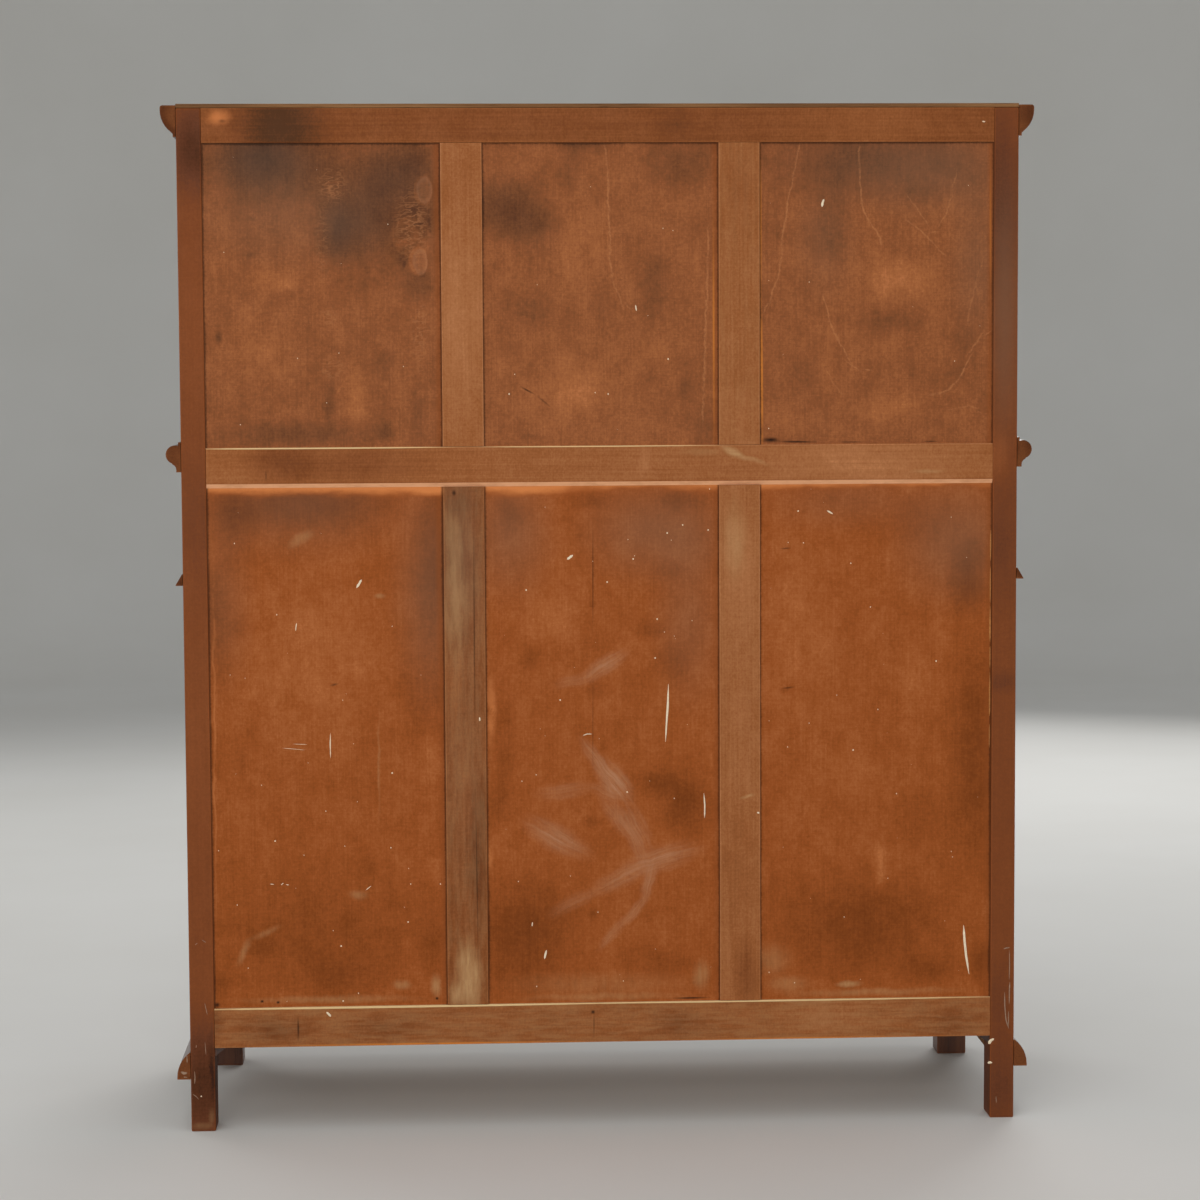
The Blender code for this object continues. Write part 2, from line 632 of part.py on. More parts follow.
def knob_mesh(x, front, z):
    """A small turned knob that points forward from the face at front."""
    ball_height = KNOB_LENGTH - KNOB_FLANGE_HEIGHT - KNOB_NECK_HEIGHT
    ball_low = KNOB_FLANGE_HEIGHT + KNOB_NECK_HEIGHT
    profile = [(KNOB_FLANGE_RADIUS, 0.0), (KNOB_FLANGE_RADIUS, KNOB_FLANGE_HEIGHT)]
    profile += [(KNOB_NECK_RADIUS, 2 * KNOB_FLANGE_HEIGHT), (KNOB_NECK_RADIUS, ball_low)]
    tip_radius = KNOB_NECK_RADIUS / 2
    for n in range(1, 2 * KNOB_STEPS):
        angle = math.pi * n / (2 * KNOB_STEPS)
        height = ball_low + ball_height * (1 - math.cos(angle)) / 2
        profile.append((tip_radius + (KNOB_RADIUS - tip_radius) * math.sin(angle), height))
    profile.append((tip_radius, KNOB_LENGTH))
    mesh = turned(profile, KNOB_SIDES)
    mesh.transform(Matrix.Rotation(math.pi / 2, 4, "X"))
    mesh.transform(Matrix.Translation((x, front - GAP, z)))
    return mesh


def door_frame(inner, axis_x, low, high, front):
    """A door's grooved frame, rounded on its hinge edge about the pivot."""
    radius = DOOR_THICK / 2
    middle = front + radius
    outer = axis_x + radius
    groove_front = front + DOOR_PANEL_SETBACK - GAP
    groove_back = front + DOOR_PANEL_SETBACK + DOOR_PANEL_EDGE + GAP
    opening_x = (inner + DOOR_STILE, outer - DOOR_STILE)
    opening_z = (low + DOOR_STILE, high - DOOR_STILE)

    def keep(x, y, z):
        reach = GROOVE_DEPTH if groove_front < y < groove_back else 0.0
        in_x = opening_x[0] - reach < x < opening_x[1] + reach
        in_z = opening_z[0] - reach < z < opening_z[1] + reach
        return not (in_x and in_z)

    def round_edge(x, y, z):
        if x < outer:
            return (x, y, z)
        return (axis_x + math.sqrt(max(0.0, radius * radius - (y - middle) ** 2)), y, z)

    steps = range(HINGE_EDGE_STEPS + 1)
    round_ys = [middle - radius * math.cos(math.pi * n / HINGE_EDGE_STEPS) for n in steps]
    xs = (inner, opening_x[0] - GROOVE_DEPTH, *opening_x, opening_x[1] + GROOVE_DEPTH, outer)
    zs = (low, opening_z[0] - GROOVE_DEPTH, *opening_z, opening_z[1] + GROOVE_DEPTH, high)
    return board(xs, (*round_ys, groove_front, groove_back), zs, keep, round_edge)


def door_panel(inner, axis_x, low, high, front):
    """A fielded panel, loose in the frame's groove."""
    tuck = DOOR_STILE - GROOVE_DEPTH + PANEL_SLACK
    outer = axis_x + DOOR_THICK / 2
    edge_front = front + DOOR_PANEL_SETBACK
    field = DOOR_STILE + PANEL_MARGIN
    layers = (
        (tuck, edge_front + DOOR_PANEL_EDGE),
        (tuck, edge_front),
        (DOOR_STILE, edge_front),
        (field, edge_front - PANEL_RISE),
        (field, edge_front - PANEL_RISE - PANEL_STEP),
    )
    rings = []
    for inset, y in layers:
        left, right = inner + inset, outer - inset
        bottom, top = low + inset, high - inset
        rings.append([(left, y, bottom), (right, y, bottom), (right, y, top), (left, y, top)])
    return skin(rings)


def doors(stage, opening, low, high, front, head, sill):
    """A pair of doors that turn on pins in the pieces above and below them."""
    inner = DOOR_MEETING_GAP / 2
    axis_x = opening - RUN - DOOR_THICK / 2
    axis_y = front + DOOR_THICK / 2
    bottom = low + RUN
    top = high - RUN
    pivots = {}
    for side, sign in SIDES:
        pivots[side] = pivot_at(f"{stage}_door_{side}_pivot", sign * axis_x, axis_y, (low + high) / 2)
    frame = door_frame(inner, axis_x, bottom, top, front)
    frames = pair(f"{stage}_door_frame", frame, FRONT_LOOK, pivots)
    pair(f"{stage}_door_panel", door_panel(inner, axis_x, bottom, top, front), FRONT_LOOK, pivots)
    knob_z = (bottom + top) / 2
    knob = knob_mesh(inner + DOOR_STILE / 2, front, knob_z)
    for obj in pair(f"{stage}_door_knob", knob, KNOB_LOOK, pivots).values():
        smooth(obj)
    for side, sign in SIDES:
        pins = bmesh.new()
        rod(pins, sign * axis_x, axis_y, low - PIN_LENGTH, bottom + PIN_ROOT, PIN_RADIUS)
        rod(pins, sign * axis_x, axis_y, top - PIN_ROOT, high + PIN_LENGTH, PIN_RADIUS)
        use_tool(frames[side], pins, "UNION")
    socket_depth = PIN_LENGTH + GAP
    for obj, start, stop in ((head, high - RUN, high + socket_depth), (sill, low - socket_depth, low + RUN)):
        sockets = bmesh.new()
        for _, sign in SIDES:
            rod(sockets, sign * axis_x, axis_y, start, stop, PIN_RADIUS + PIN_PLAY)
        use_tool(obj, sockets, "DIFFERENCE")


def drawers():
    """Two drawers that slide forward on the dust board."""
    inner = DIVIDER_WIDTH / 2 + RUN
    outer = LEG_IN - RUN
    front = Y_FRONT + DOOR_INSET
    rear = INNER_BACK - DRAWER_BACK_SPACE
    low = DRAWER_SILL + GAP
    high = DRAWER_TOP - RUN
    wall_top = high - DRAWER_WALL_DROP
    xs = (inner, inner + DRAWER_WALL, outer - DRAWER_WALL, outer)
    ys = (front, front + DRAWER_FRONT_THICK, rear - DRAWER_WALL, rear)
    zs = (low, low + DRAWER_FLOOR_THICK, wall_top, high)

    def keep(x, y, z):
        if y < front + DRAWER_FRONT_THICK:
            return True
        in_wall = x < inner + DRAWER_WALL or x > outer - DRAWER_WALL or y > rear - DRAWER_WALL
        return z < low + DRAWER_FLOOR_THICK or (in_wall and z < wall_top)

    middle = (inner + outer) / 2
    pivots = {side: pivot_at(f"drawer_{side}_slide", sign * middle, front, low) for side, sign in SIDES}
    pair("drawer", board(xs, ys, zs, keep), FRONT_LOOK, pivots)
    for obj in pair("drawer_knob", knob_mesh(middle, front, (low + high) / 2), KNOB_LOOK, pivots).values():
        smooth(obj)


def court_cupboard():
    """Build every piece of the cupboard."""
    clear_scene()
    back()
    legs_and_sides()
    ledge, soffit = boards()
    drawer_rail, bottom_rail = front_frame()
    columns()
    mouldings()
    doors("upper", UPPER_OPENING, LEDGE_TOP, CANOPY_BOTTOM, Y_UPPER, soffit, ledge)
    doors("lower", LEG_IN, BOTTOM_RAIL_TOP, DOOR_HEAD, Y_FRONT + DOOR_INSET, drawer_rail, bottom_rail)
    drawers()


court_cupboard()
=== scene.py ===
# %% [markdown]
# A court cupboard, seen from behind.
#
# This lesson dresses a finished construction model: every board, rail, door and drawer is already in place at
# its real size. What is left is everything the eye checks first: soft arrises, grain that runs along each
# member, stain that has gone patchy, with light and shade painted into it, soot, dust, scuffs and the flecks
# of paint that an old back collects.
# The frame is loaded first, and its box is kept: it gives the depth of the back and the point that the lights
# face.

import json
import math
import random
from collections import namedtuple

import bmesh
import bpy
import numpy as np
from mathutils import Matrix, Vector


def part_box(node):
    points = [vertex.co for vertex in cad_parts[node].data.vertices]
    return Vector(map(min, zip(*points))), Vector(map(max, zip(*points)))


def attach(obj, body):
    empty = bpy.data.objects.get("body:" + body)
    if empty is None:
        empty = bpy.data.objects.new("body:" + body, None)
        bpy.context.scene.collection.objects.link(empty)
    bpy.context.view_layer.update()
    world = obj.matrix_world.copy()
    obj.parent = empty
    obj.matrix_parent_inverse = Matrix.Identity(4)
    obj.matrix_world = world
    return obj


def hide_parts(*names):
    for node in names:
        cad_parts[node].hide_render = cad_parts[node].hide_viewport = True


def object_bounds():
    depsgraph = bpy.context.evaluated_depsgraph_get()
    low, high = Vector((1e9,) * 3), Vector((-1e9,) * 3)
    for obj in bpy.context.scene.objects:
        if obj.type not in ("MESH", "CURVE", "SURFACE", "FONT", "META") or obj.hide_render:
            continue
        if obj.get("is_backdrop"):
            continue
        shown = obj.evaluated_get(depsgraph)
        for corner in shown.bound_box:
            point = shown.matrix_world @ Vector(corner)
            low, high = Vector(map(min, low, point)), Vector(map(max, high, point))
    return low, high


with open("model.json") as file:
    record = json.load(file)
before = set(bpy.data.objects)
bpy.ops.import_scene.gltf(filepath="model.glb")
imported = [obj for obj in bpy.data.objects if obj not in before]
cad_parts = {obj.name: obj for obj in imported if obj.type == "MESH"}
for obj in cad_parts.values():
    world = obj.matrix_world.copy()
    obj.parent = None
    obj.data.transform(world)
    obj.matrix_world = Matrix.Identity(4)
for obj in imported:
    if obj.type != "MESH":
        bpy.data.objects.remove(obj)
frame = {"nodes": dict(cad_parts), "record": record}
NODES = frame["nodes"]
BODY_OF = {node: body for body, nodes in frame["record"]["behaviour"]["bodies"].items() for node in nodes}
cad_low, cad_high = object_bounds()
BACK = cad_high.y
print("frame:", len(NODES), "nodes,", [round(size, 4) for size in cad_high - cad_low])

# %% [markdown]
# The camera stands behind the cupboard, a little above its middle and a little to one side.
#
# A long lens keeps the frame's edges nearly parallel. The place and the three small angles were found by
# matching the corners of the posts and rails. The picture is square, so the sensor's width serves both ways.

# %% Camera
PHOTO_SIDE = 1200  # pixels
LENS, SENSOR = 90.0, 36.0
FOCAL = LENS / SENSOR * PHOTO_SIDE
PHOTO_MIDDLE = PHOTO_SIDE / 2
CAMERA_PLACE = Vector((0.2101, 4.4611, 1.0862))
CAMERA_YAW, CAMERA_PITCH, CAMERA_ROLL = (math.radians(angle) for angle in (2.798, 4.484, 0.299))

look = Vector((-math.sin(CAMERA_YAW), -math.cos(CAMERA_YAW), 0.0)) * math.cos(CAMERA_PITCH)
look.z = -math.sin(CAMERA_PITCH)
level = Vector((-math.cos(CAMERA_YAW), math.sin(CAMERA_YAW), 0.0))
plumb = look.cross(level)
across = math.cos(CAMERA_ROLL) * level + math.sin(CAMERA_ROLL) * plumb
down = math.cos(CAMERA_ROLL) * plumb - math.sin(CAMERA_ROLL) * level

camera = bpy.data.objects.new("camera", bpy.data.cameras.new("camera"))
camera.data.lens, camera.data.sensor_width = LENS, SENSOR
camera.matrix_world = Matrix.Translation(CAMERA_PLACE) @ Matrix((across, -down, -look)).transposed().to_4x4()
bpy.context.scene.collection.objects.link(camera)
bpy.context.scene.camera = camera


def on_back(x, y, depth=BACK):
    """The point of the back, at one depth, that a pixel of the photograph shows."""
    ray = look + across * ((x - PHOTO_MIDDLE) / FOCAL) + down * ((y - PHOTO_MIDDLE) / FOCAL)
    return CAMERA_PLACE + ray * ((depth - CAMERA_PLACE.y) / ray.y)


PIXEL = (on_back(PHOTO_MIDDLE + 1, PHOTO_MIDDLE) - on_back(PHOTO_MIDDLE, PHOTO_MIDDLE)).length
print(f"camera: one pixel of the photograph is {PIXEL * 1000:.2f} mm on the back")

# %% [markdown]
# The stage is a shallow bowl: a pale floor that turns up into a wall all the way round.
#
# A flat floor would end in a hard horizon. A bowl has none, whichever side the cupboard is seen from. It is
# turned from a short profile, and it is not part of the furniture, so it is marked as stage. Square softboxes
# light it from behind, in front and above. Most have a grid that narrows their spread, which keeps the floor
# nearest to them from burning out.

# %% Stage and studio light
FLOOR_RADIUS, BOWL_CURVE, BOWL_HEIGHT = 6.0, 2.0, 4.0
BOWL_SIDES, BOWL_STEPS = 96, 12
FLOOR_RINGS = (0.02, 0.5, 1.0)  # shares of the floor's radius
Softbox = namedtuple("Softbox", "name place side power spread")  # metres, watts and degrees
SOFTBOXES = (
    Softbox("back key", (0.7, 5.4, 1.9), 2.6, 70.0, 140.0),
    Softbox("back fill", (2.6, 3.6, 3.4), 2.5, 14.0, 140.0),
    Softbox("front key", (-1.8, -4.6, 2.1), 3.0, 52.0, 120.0),
    Softbox("front fill", (3.4, -3.6, 1.8), 2.5, 16.0, 120.0),
    Softbox("overhead", (0.0, 1.2, 5.5), 4.0, 36.0, 180.0),
)
SKY_COLOUR, SKY_STRENGTH = (0.95, 0.97, 1.0, 1.0), 0.36


def strip(bm, rings):
    """Join each ring of points to the next one by four-sided faces."""
    for ring, after in zip(rings, rings[1:]):
        for k in range(len(ring)):
            turn = (k + 1) % len(ring)
            bm.faces.new((ring[k], ring[turn], after[turn], after[k]))


def mesh_of(bm, name):
    mesh = bpy.data.meshes.new(name)
    bm.to_mesh(mesh)
    bm.free()
    return mesh


def stage_bowl():
    profile = [(FLOOR_RADIUS * share, 0.0) for share in FLOOR_RINGS]
    for n in range(1, BOWL_STEPS + 1):
        turn = math.pi / 2 * n / BOWL_STEPS
        reach = FLOOR_RADIUS + BOWL_CURVE * math.sin(turn)
        profile.append((reach, BOWL_CURVE * (1 - math.cos(turn))))
    profile.append((FLOOR_RADIUS + BOWL_CURVE, BOWL_HEIGHT))
    angles = [2 * math.pi * k / BOWL_SIDES for k in range(BOWL_SIDES)]
    bm = bmesh.new()
    rings = []
    for radius, height in profile:
        rings.append([bm.verts.new((radius * math.cos(a), radius * math.sin(a), height)) for a in angles])
    bm.faces.new(rings[0])
    strip(bm, rings[::-1])
    for face in bm.faces:
        face.smooth = True
    return mesh_of(bm, "stage_bowl")


def hang(box, target):
    """Hang a softbox so that it faces a point."""
    light = bpy.data.lights.new(box.name, "AREA")
    light.size, light.energy, light.spread = box.side, box.power, math.radians(box.spread)
    lamp = bpy.data.objects.new(box.name, light)
    lamp.location = box.place
    lamp.rotation_euler = (target - Vector(box.place)).to_track_quat("-Z", "Y").to_euler()
    bpy.context.scene.collection.objects.link(lamp)


bowl = bpy.data.objects.new("stage_bowl", stage_bowl())
bpy.context.scene.collection.objects.link(bowl)
bowl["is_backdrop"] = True
for box in SOFTBOXES:
    hang(box, (cad_low + cad_high) / 2)
world = bpy.data.worlds.new("studio")
world.use_nodes = True
sky = world.node_tree.nodes["Background"]
sky.inputs["Color"].default_value = SKY_COLOUR
sky.inputs["Strength"].default_value = SKY_STRENGTH
bpy.context.scene.world = world
bpy.context.scene.view_settings.view_transform = "Standard"
print("stage: bowl of", len(bowl.data.polygons), "faces,", len(SOFTBOXES), "softboxes")

# %% [markdown]
# Finishes and shaping rules are node trees, wired up in Python.
#
# Wiring node by node hides the idea behind the plumbing. Here a socket is wrapped in a small class, so that
# sums such as 1 - mask read as sums, and one method adds any other node by its type, settings and sockets.
# The same two classes serve materials and, further down, Geometry Nodes.

# %% Wiring
class Wire:
    """A socket that takes part in sums as a number does."""

    def __init__(self, bench, socket):
        self.bench = bench
        self.socket = socket

    def __add__(self, other):
        return self.bench.maths("ADD", self, other)

    def __radd__(self, other):
        return self.bench.maths("ADD", other, self)

    def __sub__(self, other):
        return self.bench.maths("SUBTRACT", self, other)

    def __rsub__(self, other):
        return self.bench.maths("SUBTRACT", other, self)

    def __mul__(self, other):
        return self.bench.maths("MULTIPLY", self, other)

    def __rmul__(self, other):
        return self.bench.maths("MULTIPLY", other, self)

    def __truediv__(self, other):
        return self.bench.maths("DIVIDE", self, other)

    def least(self, other):
        return self.bench.maths("MINIMUM", self, other)

    def most(self, other):
        return self.bench.maths("MAXIMUM", self, other)

    def size(self):
        return self.bench.maths("ABSOLUTE", self)


class Bench:
    """A node tree under construction."""

    def __init__(self, tree):
        self.tree = tree

    def node(self, kind, settings=None, sockets=None, output=0):
        made = self.tree.nodes.new(kind)
        for name, value in (settings or {}).items():
            if name == "stops":
                self.set_stops(made.color_ramp.elements, value)
            else:
                setattr(made, name, value)
        for key, value in (sockets or {}).items():
            self.plug(made.inputs[key], value)
        return Wire(self, made.outputs[output])

    def set_stops(self, elements, stops):
        while len(elements) < len(stops):
            elements.new(1.0)
        for element, (place, colour) in zip(elements, stops):
            element.position, element.color = place, colour

    def plug(self, socket, value):
        if isinstance(value, Wire):
            self.tree.links.new(value.socket, socket)
        else:
            socket.default_value = value

    def maths(self, operation, first, second=0.0):
        return self.node("ShaderNodeMath", {"operation": operation}, {0: first, 1: second})

    def vector(self, operation, first, second, output="Vector"):
        return self.node("ShaderNodeVectorMath", {"operation": operation}, {0: first, 1: second}, output)

    def xyz(self, x=0.0, y=0.0, z=0.0):
        return self.node("ShaderNodeCombineXYZ", None, {"X": x, "Y": y, "Z": z})

    def parts(self, vector):
        made = self.node("ShaderNodeSeparateXYZ", None, {0: vector}).socket.node
        return [Wire(self, socket) for socket in made.outputs]

    def fade(self, value, start, stop, low=0.0, high=1.0):
        """A soft step from low to high as value goes from start to stop."""
        sockets = {"Value": value, "From Min": start, "From Max": stop, "To Min": low, "To Max": high}
        return self.node("ShaderNodeMapRange", {"interpolation_type": "SMOOTHSTEP"}, sockets)


# %% [markdown]
# A finish is a material whose wires all end in one Principled shader.
#
# Tones are read off a picture as numbers from 0 to 255, so one helper turns them into the linear colours that
# the shader wants. The floor of the stage is the first to be finished: a pale tone with faint clouds.

# %% Finishes
class Finish(Bench):
    """A material, with its Principled shader as the end of every wire."""

    SOCKETS = {
        "base_color": "Base Color",
        "roughness": "Roughness",
        "normal": "Normal",
        "shine": "Specular IOR Level",
    }
    MIX_SHARE, MIX_FIRST, MIX_SECOND, MIX_RESULT = 0, 6, 7, 2  # a Mix node's sockets for colours

    def __init__(self, name, **constants):
        self.material = bpy.data.materials.new(name)
        self.material.use_nodes = True
        super().__init__(self.material.node_tree)
        self.shader = self.tree.nodes["Principled BSDF"]
        self.feed(**constants)

    def feed(self, **sockets):
        for name, value in sockets.items():
            self.plug(self.shader.inputs[self.SOCKETS[name]], value)

    def place(self):
        return self.node("ShaderNodeTexCoord", output="Object")

    def painted(self, name, output="Vector"):
        return self.node("ShaderNodeAttribute", {"attribute_name": name}, output=output)

    def noise(self, vector, scale, detail=3.0, roughness=0.55, output="Fac"):
        stretched = self.vector("MULTIPLY", vector, scale)
        sockets = {"Vector": stretched, "Scale": 1.0, "Detail": detail, "Roughness": roughness}
        return self.node("ShaderNodeTexNoise", None, sockets, output)

    def mix(self, share, first, second):
        settings = {"data_type": "RGBA", "clamp_factor": True}
        sockets = {self.MIX_SHARE: share, self.MIX_FIRST: first, self.MIX_SECOND: second}
        return self.node("ShaderNodeMix", settings, sockets, self.MIX_RESULT)

    def ramp(self, value, stops):
        return self.node("ShaderNodeValToRGB", {"stops": stops}, {"Fac": value}, "Color")

    def bump(self, height, strength, distance):
        sockets = {"Height": height, "Strength": strength, "Distance": distance}
        self.feed(normal=self.node("ShaderNodeBump", None, sockets, "Normal"))


def srgb(red, green, blue):
    """A colour read off a picture, 0 to 255, as the shader's own linear colour."""
    shares = [value / 255 for value in (red, green, blue)]
    return (*[v / 12.92 if v < 0.04045 else ((v + 0.055) / 1.055) ** 2.4 for v in shares], 1.0)


FLOOR_TONES = srgb(216, 214, 208), srgb(226, 225, 221)
FLOOR_CLOUDS = (1.5, 1.5, 1.5)
bowl_finish = Finish("pale_floor", roughness=0.9)
bowl_tone = bowl_finish.noise(bowl_finish.place(), FLOOR_CLOUDS)
bowl_finish.feed(base_color=bowl_finish.mix(bowl_tone, *FLOOR_TONES))
bowl.data.materials.append(bowl_finish.material)
print("finished:", bowl.name)

# %% [markdown]
# Boards keep their shape but lose their knife edges.
#
# A sawn edge is never razor sharp on old furniture: hands, cloths and removals ease it. A copy of each board
# is welded, its flat triangles are joined into faces, and its outer arrises are bevelled by about a
# millimetre. The copy also carries what the finishes need: grain says how far along, across and through the
# wood a point is, place and half say where it lies in the board, and end marks sawn end grain.

# %% Eased boards
WELD = 0.00002
FLAT = math.radians(1.0)
SHARP = math.radians(30.0)
CREASE = math.radians(20.0)
ARRIS = 0.0011
GRAIN_SHIFT = 9.0  # metres: each board is cut from another place of the same endless log
END_CUT = 0.8  # a face whose normal lies this much along the grain is end grain
SEED = 17
AXES = "XYZ"
dice = random.Random(SEED)


def on_outer_arris(edge, low, high):
    """True where an edge lies along an edge of the board's own box."""
    middle = (edge.verts[0].co + edge.verts[1].co) / 2
    hits = [min(abs(m - a), abs(m - b)) < 2 * WELD for m, a, b in zip(middle, low, high)]
    return sum(hits) >= 2


def welded(node):
    """A copy of a board whose loose triangles are joined into faces."""
    bm = bmesh.new()
    bm.from_mesh(NODES[node].data)
    bmesh.ops.remove_doubles(bm, verts=bm.verts[:], dist=WELD)
    bmesh.ops.dissolve_limit(bm, angle_limit=FLAT, verts=bm.verts[:], edges=bm.edges[:])
    return bm


def ease(bm, low, high, width):
    """Bevel the sharp outer arrises of a board."""
    edges = [edge for edge in bm.edges if edge.is_manifold and edge.calc_face_angle(0.0) > SHARP]
    edges = [edge for edge in edges if on_outer_arris(edge, low, high)]
    how = {"offset_type": "OFFSET", "segments": 2, "profile": 0.5, "affect": "EDGES", "clamp_overlap": True}
    bmesh.ops.bevel(bm, geom=edges, offset=width, **how)


def cut(bm, axis, level):
    """Split the faces along a joint, so that grain can turn there."""
    spot, normal = Vector(), Vector()
    spot[AXES.index(axis)] = level
    normal[AXES.index(axis)] = 1.0
    geometry = bm.verts[:] + bm.edges[:] + bm.faces[:]
    bmesh.ops.bisect_plane(bm, geom=geometry, dist=WELD, plane_co=spot, plane_no=normal)


def mark_grain(mesh, grain_of, low, high):
    """Write grain, place, half and end on a mesh. grain_of gives a face's grain axis from its middle."""
    offset = np.array([dice.uniform(-GRAIN_SHIFT, GRAIN_SHIFT) for _ in AXES])
    middle, half = np.array((low + high) / 2), np.array((high - low) / 2)
    corners = len(mesh.loops)
    grain, place, end = np.zeros((corners, 3)), np.zeros((corners, 3)), np.zeros(corners)
    points = np.array([vertex.co for vertex in mesh.vertices])
    for face in mesh.polygons:
        axis = AXES.index(grain_of(face.center))
        order = [axis, (axis + 1) % 3, (axis + 2) % 3]
        own = slice(face.loop_start, face.loop_start + face.loop_total)
        spots = points[list(face.vertices)]
        grain[own] = spots[:, order] + offset + axis
        place[own] = spots - middle
        end[own] = 1.0 if abs(face.normal[axis]) > END_CUT else 0.0
    for name, values in (("grain", grain), ("place", place), ("half", np.tile(half, (corners, 1)))):
        mesh.attributes.new(name, "FLOAT_VECTOR", "CORNER").data.foreach_set("vector", values.ravel())
    mesh.attributes.new("end", "FLOAT", "CORNER").data.foreach_set("value", end)


def show(mesh, body, nodes=(), sharp=CREASE):
    """Put a finished mesh in the scene as a piece that rides on a body and stands for its nodes."""
    mesh.shade_smooth()
    mesh.set_sharp_from_angle(angle=sharp)
    piece = bpy.data.objects.new(mesh.name, mesh)
    bpy.context.scene.collection.objects.link(piece)
    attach(piece, body)
    if nodes:
        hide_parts(*nodes)


def eased(
    node, finish, grain, width=ARRIS, field=None, joints=(), inside=None, other=None, sharp=CREASE
):
    """An eased copy of a board that stands for its node.

    grain is an axis, or gives one for a face's middle. field is the box that borders are measured in, if not
    the board's own. joints are the planes where members meet. inside says, from a face's middle and normal,
    whether it has the other finish, which is unpolished wood if none is given.
    """
    low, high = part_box(node)
    bm = welded(node)
    if width:
        ease(bm, low, high, width)
    for axis, level in joints:
        cut(bm, axis, level)
    mesh = mesh_of(bm, f"eased_{node}")
    mark_grain(mesh, grain if callable(grain) else lambda middle: grain, *(field or (low, high)))
    mesh.materials.append(finish.material)
    if inside:
        mesh.materials.append((other or inside_oak).material)
        for face in mesh.polygons:
            face.material_index = int(inside(face.center, face.normal))
    show(mesh, BODY_OF[node], (node,), sharp)


print(f"boards: arrises eased by {ARRIS * 1000:.1f} mm")

# %% [markdown]
# Marks are ovals, rings and strokes, placed in the pixels of the photograph.
#
# Stain, soot and dust have soft edges and no texture of their own, so each is an oval in the plane of the
# back: a Mapping node brings the oval to a unit circle, and the length of the vector then fades from the
# middle out. A stroke is the same oval, long and thin and turned to lie between two points, and a smear is a
# stroke with streaks along it, as a wiping hand leaves. A ring is the rim of a blister or of a dried drop. A
# trail is a chain of strokes, for grain lines that bend. Painting an image would be quicker, but an image has
# a fixed sharpness, and marks don't.

# %% Marks on the back
Oval = namedtuple("Oval", "x y wide high strength")  # pixels: its middle and its two radii
Ring = namedtuple("Ring", "x y wide high strength")
Stroke = namedtuple("Stroke", "x0 y0 x1 y1 wide strength")  # pixels: its ends and half its width
Smear = namedtuple("Smear", "x0 y0 x1 y1 wide strength")
DEEP = 10.0  # metres: a mark reaches through any board of the back
SMEAR_STREAKS, STREAK_EDGES = (0.8, 0.0, 6.0), (0.36, 0.64)
SMEAR_LEAST, SMEAR_MOST = 0.5, 1.3  # strength between and along the streaks
RING_INNER, RING_CREST, RING_OUTER = 0.5, 0.85, 1.05  # shares of a ring's radii
RING_FILL = 0.4  # strength inside a ring, as a share of its rim's


def mark(finish, place, spot):
    """One mark's strength over the back, from its middle out to nothing at its edge."""
    if isinstance(spot, (Oval, Ring)):
        middle, turn = on_back(spot.x, spot.y), 0.0
        radii = (spot.wide * PIXEL, DEEP, spot.high * PIXEL)
    else:
        start, stop = on_back(spot.x0, spot.y0), on_back(spot.x1, spot.y1)
        middle, run = (start + stop) / 2, stop - start
        turn = -math.atan2(run.z, run.x)
        radii = (run.length / 2 + spot.wide * PIXEL, DEEP, spot.wide * PIXEL)
    sockets = {"Vector": place, "Location": middle, "Rotation": (0.0, turn, 0.0), "Scale": radii}
    near = finish.node("ShaderNodeMapping", {"vector_type": "TEXTURE"}, sockets)
    reach = finish.vector("LENGTH", near, (0.0, 0.0, 0.0), "Value")
    if isinstance(spot, Ring):
        inner = finish.fade(reach, RING_INNER, RING_CREST, RING_FILL * spot.strength, spot.strength)
        return inner * finish.fade(reach, RING_CREST, RING_OUTER, 1.0, 0.0)
    soft = finish.fade(reach, 0.0, 1.0, spot.strength, 0.0)
    if isinstance(spot, Smear):
        # Each smear has streaks of its own
        own = finish.vector("ADD", near, (spot.x0, 0.0, spot.y0))
        streaks = finish.noise(own, SMEAR_STREAKS, 4.0, 0.6)
        soft = soft * finish.fade(streaks, *STREAK_EDGES, SMEAR_LEAST, SMEAR_MOST)
    return soft


def trail(wide, strength, *points):
    """Strokes that overlap by half, so that together they draw one even line through the points."""
    strokes = []
    for (x0, y0), (x, y), (x1, y1) in zip((points[0], *points), points, (*points[1:], points[-1])):
        run_x, run_y = (x1 - x0) / 2, (y1 - y0) / 2
        strokes.append(Stroke(x - run_x, y - run_y, x + run_x, y + run_y, wide, strength))
    return tuple(strokes)


def all_marks(finish, place, spots):
    total = mark(finish, place, spots[0])
    for spot in spots[1:]:
        total = total + mark(finish, place, spot)
    return total


def wavering(finish, place, scale, amount):
    """A place pushed about by noise, so that ovals lose their drawn outline."""
    push = finish.noise(place, (scale, scale, scale), 4.0, 0.6, "Color")
    push = finish.vector("SUBTRACT", push, (0.5, 0.5, 0.5))
    return finish.vector("ADD", place, finish.vector("MULTIPLY", push, (amount, amount, amount)))


def rim_distance(finish):
    """How far a point lies from the nearest arris of its board: the middle one of three insets."""
    place = finish.vector("ABSOLUTE", finish.painted("place"), (0.0, 0.0, 0.0))
    a, b, c = finish.parts(finish.vector("SUBTRACT", finish.painted("half"), place))
    return a.least(b).most(a.most(b).least(c))


print("marks:", ", ".join(kind.__name__ for kind in (Oval, Ring, Stroke, Smear)))

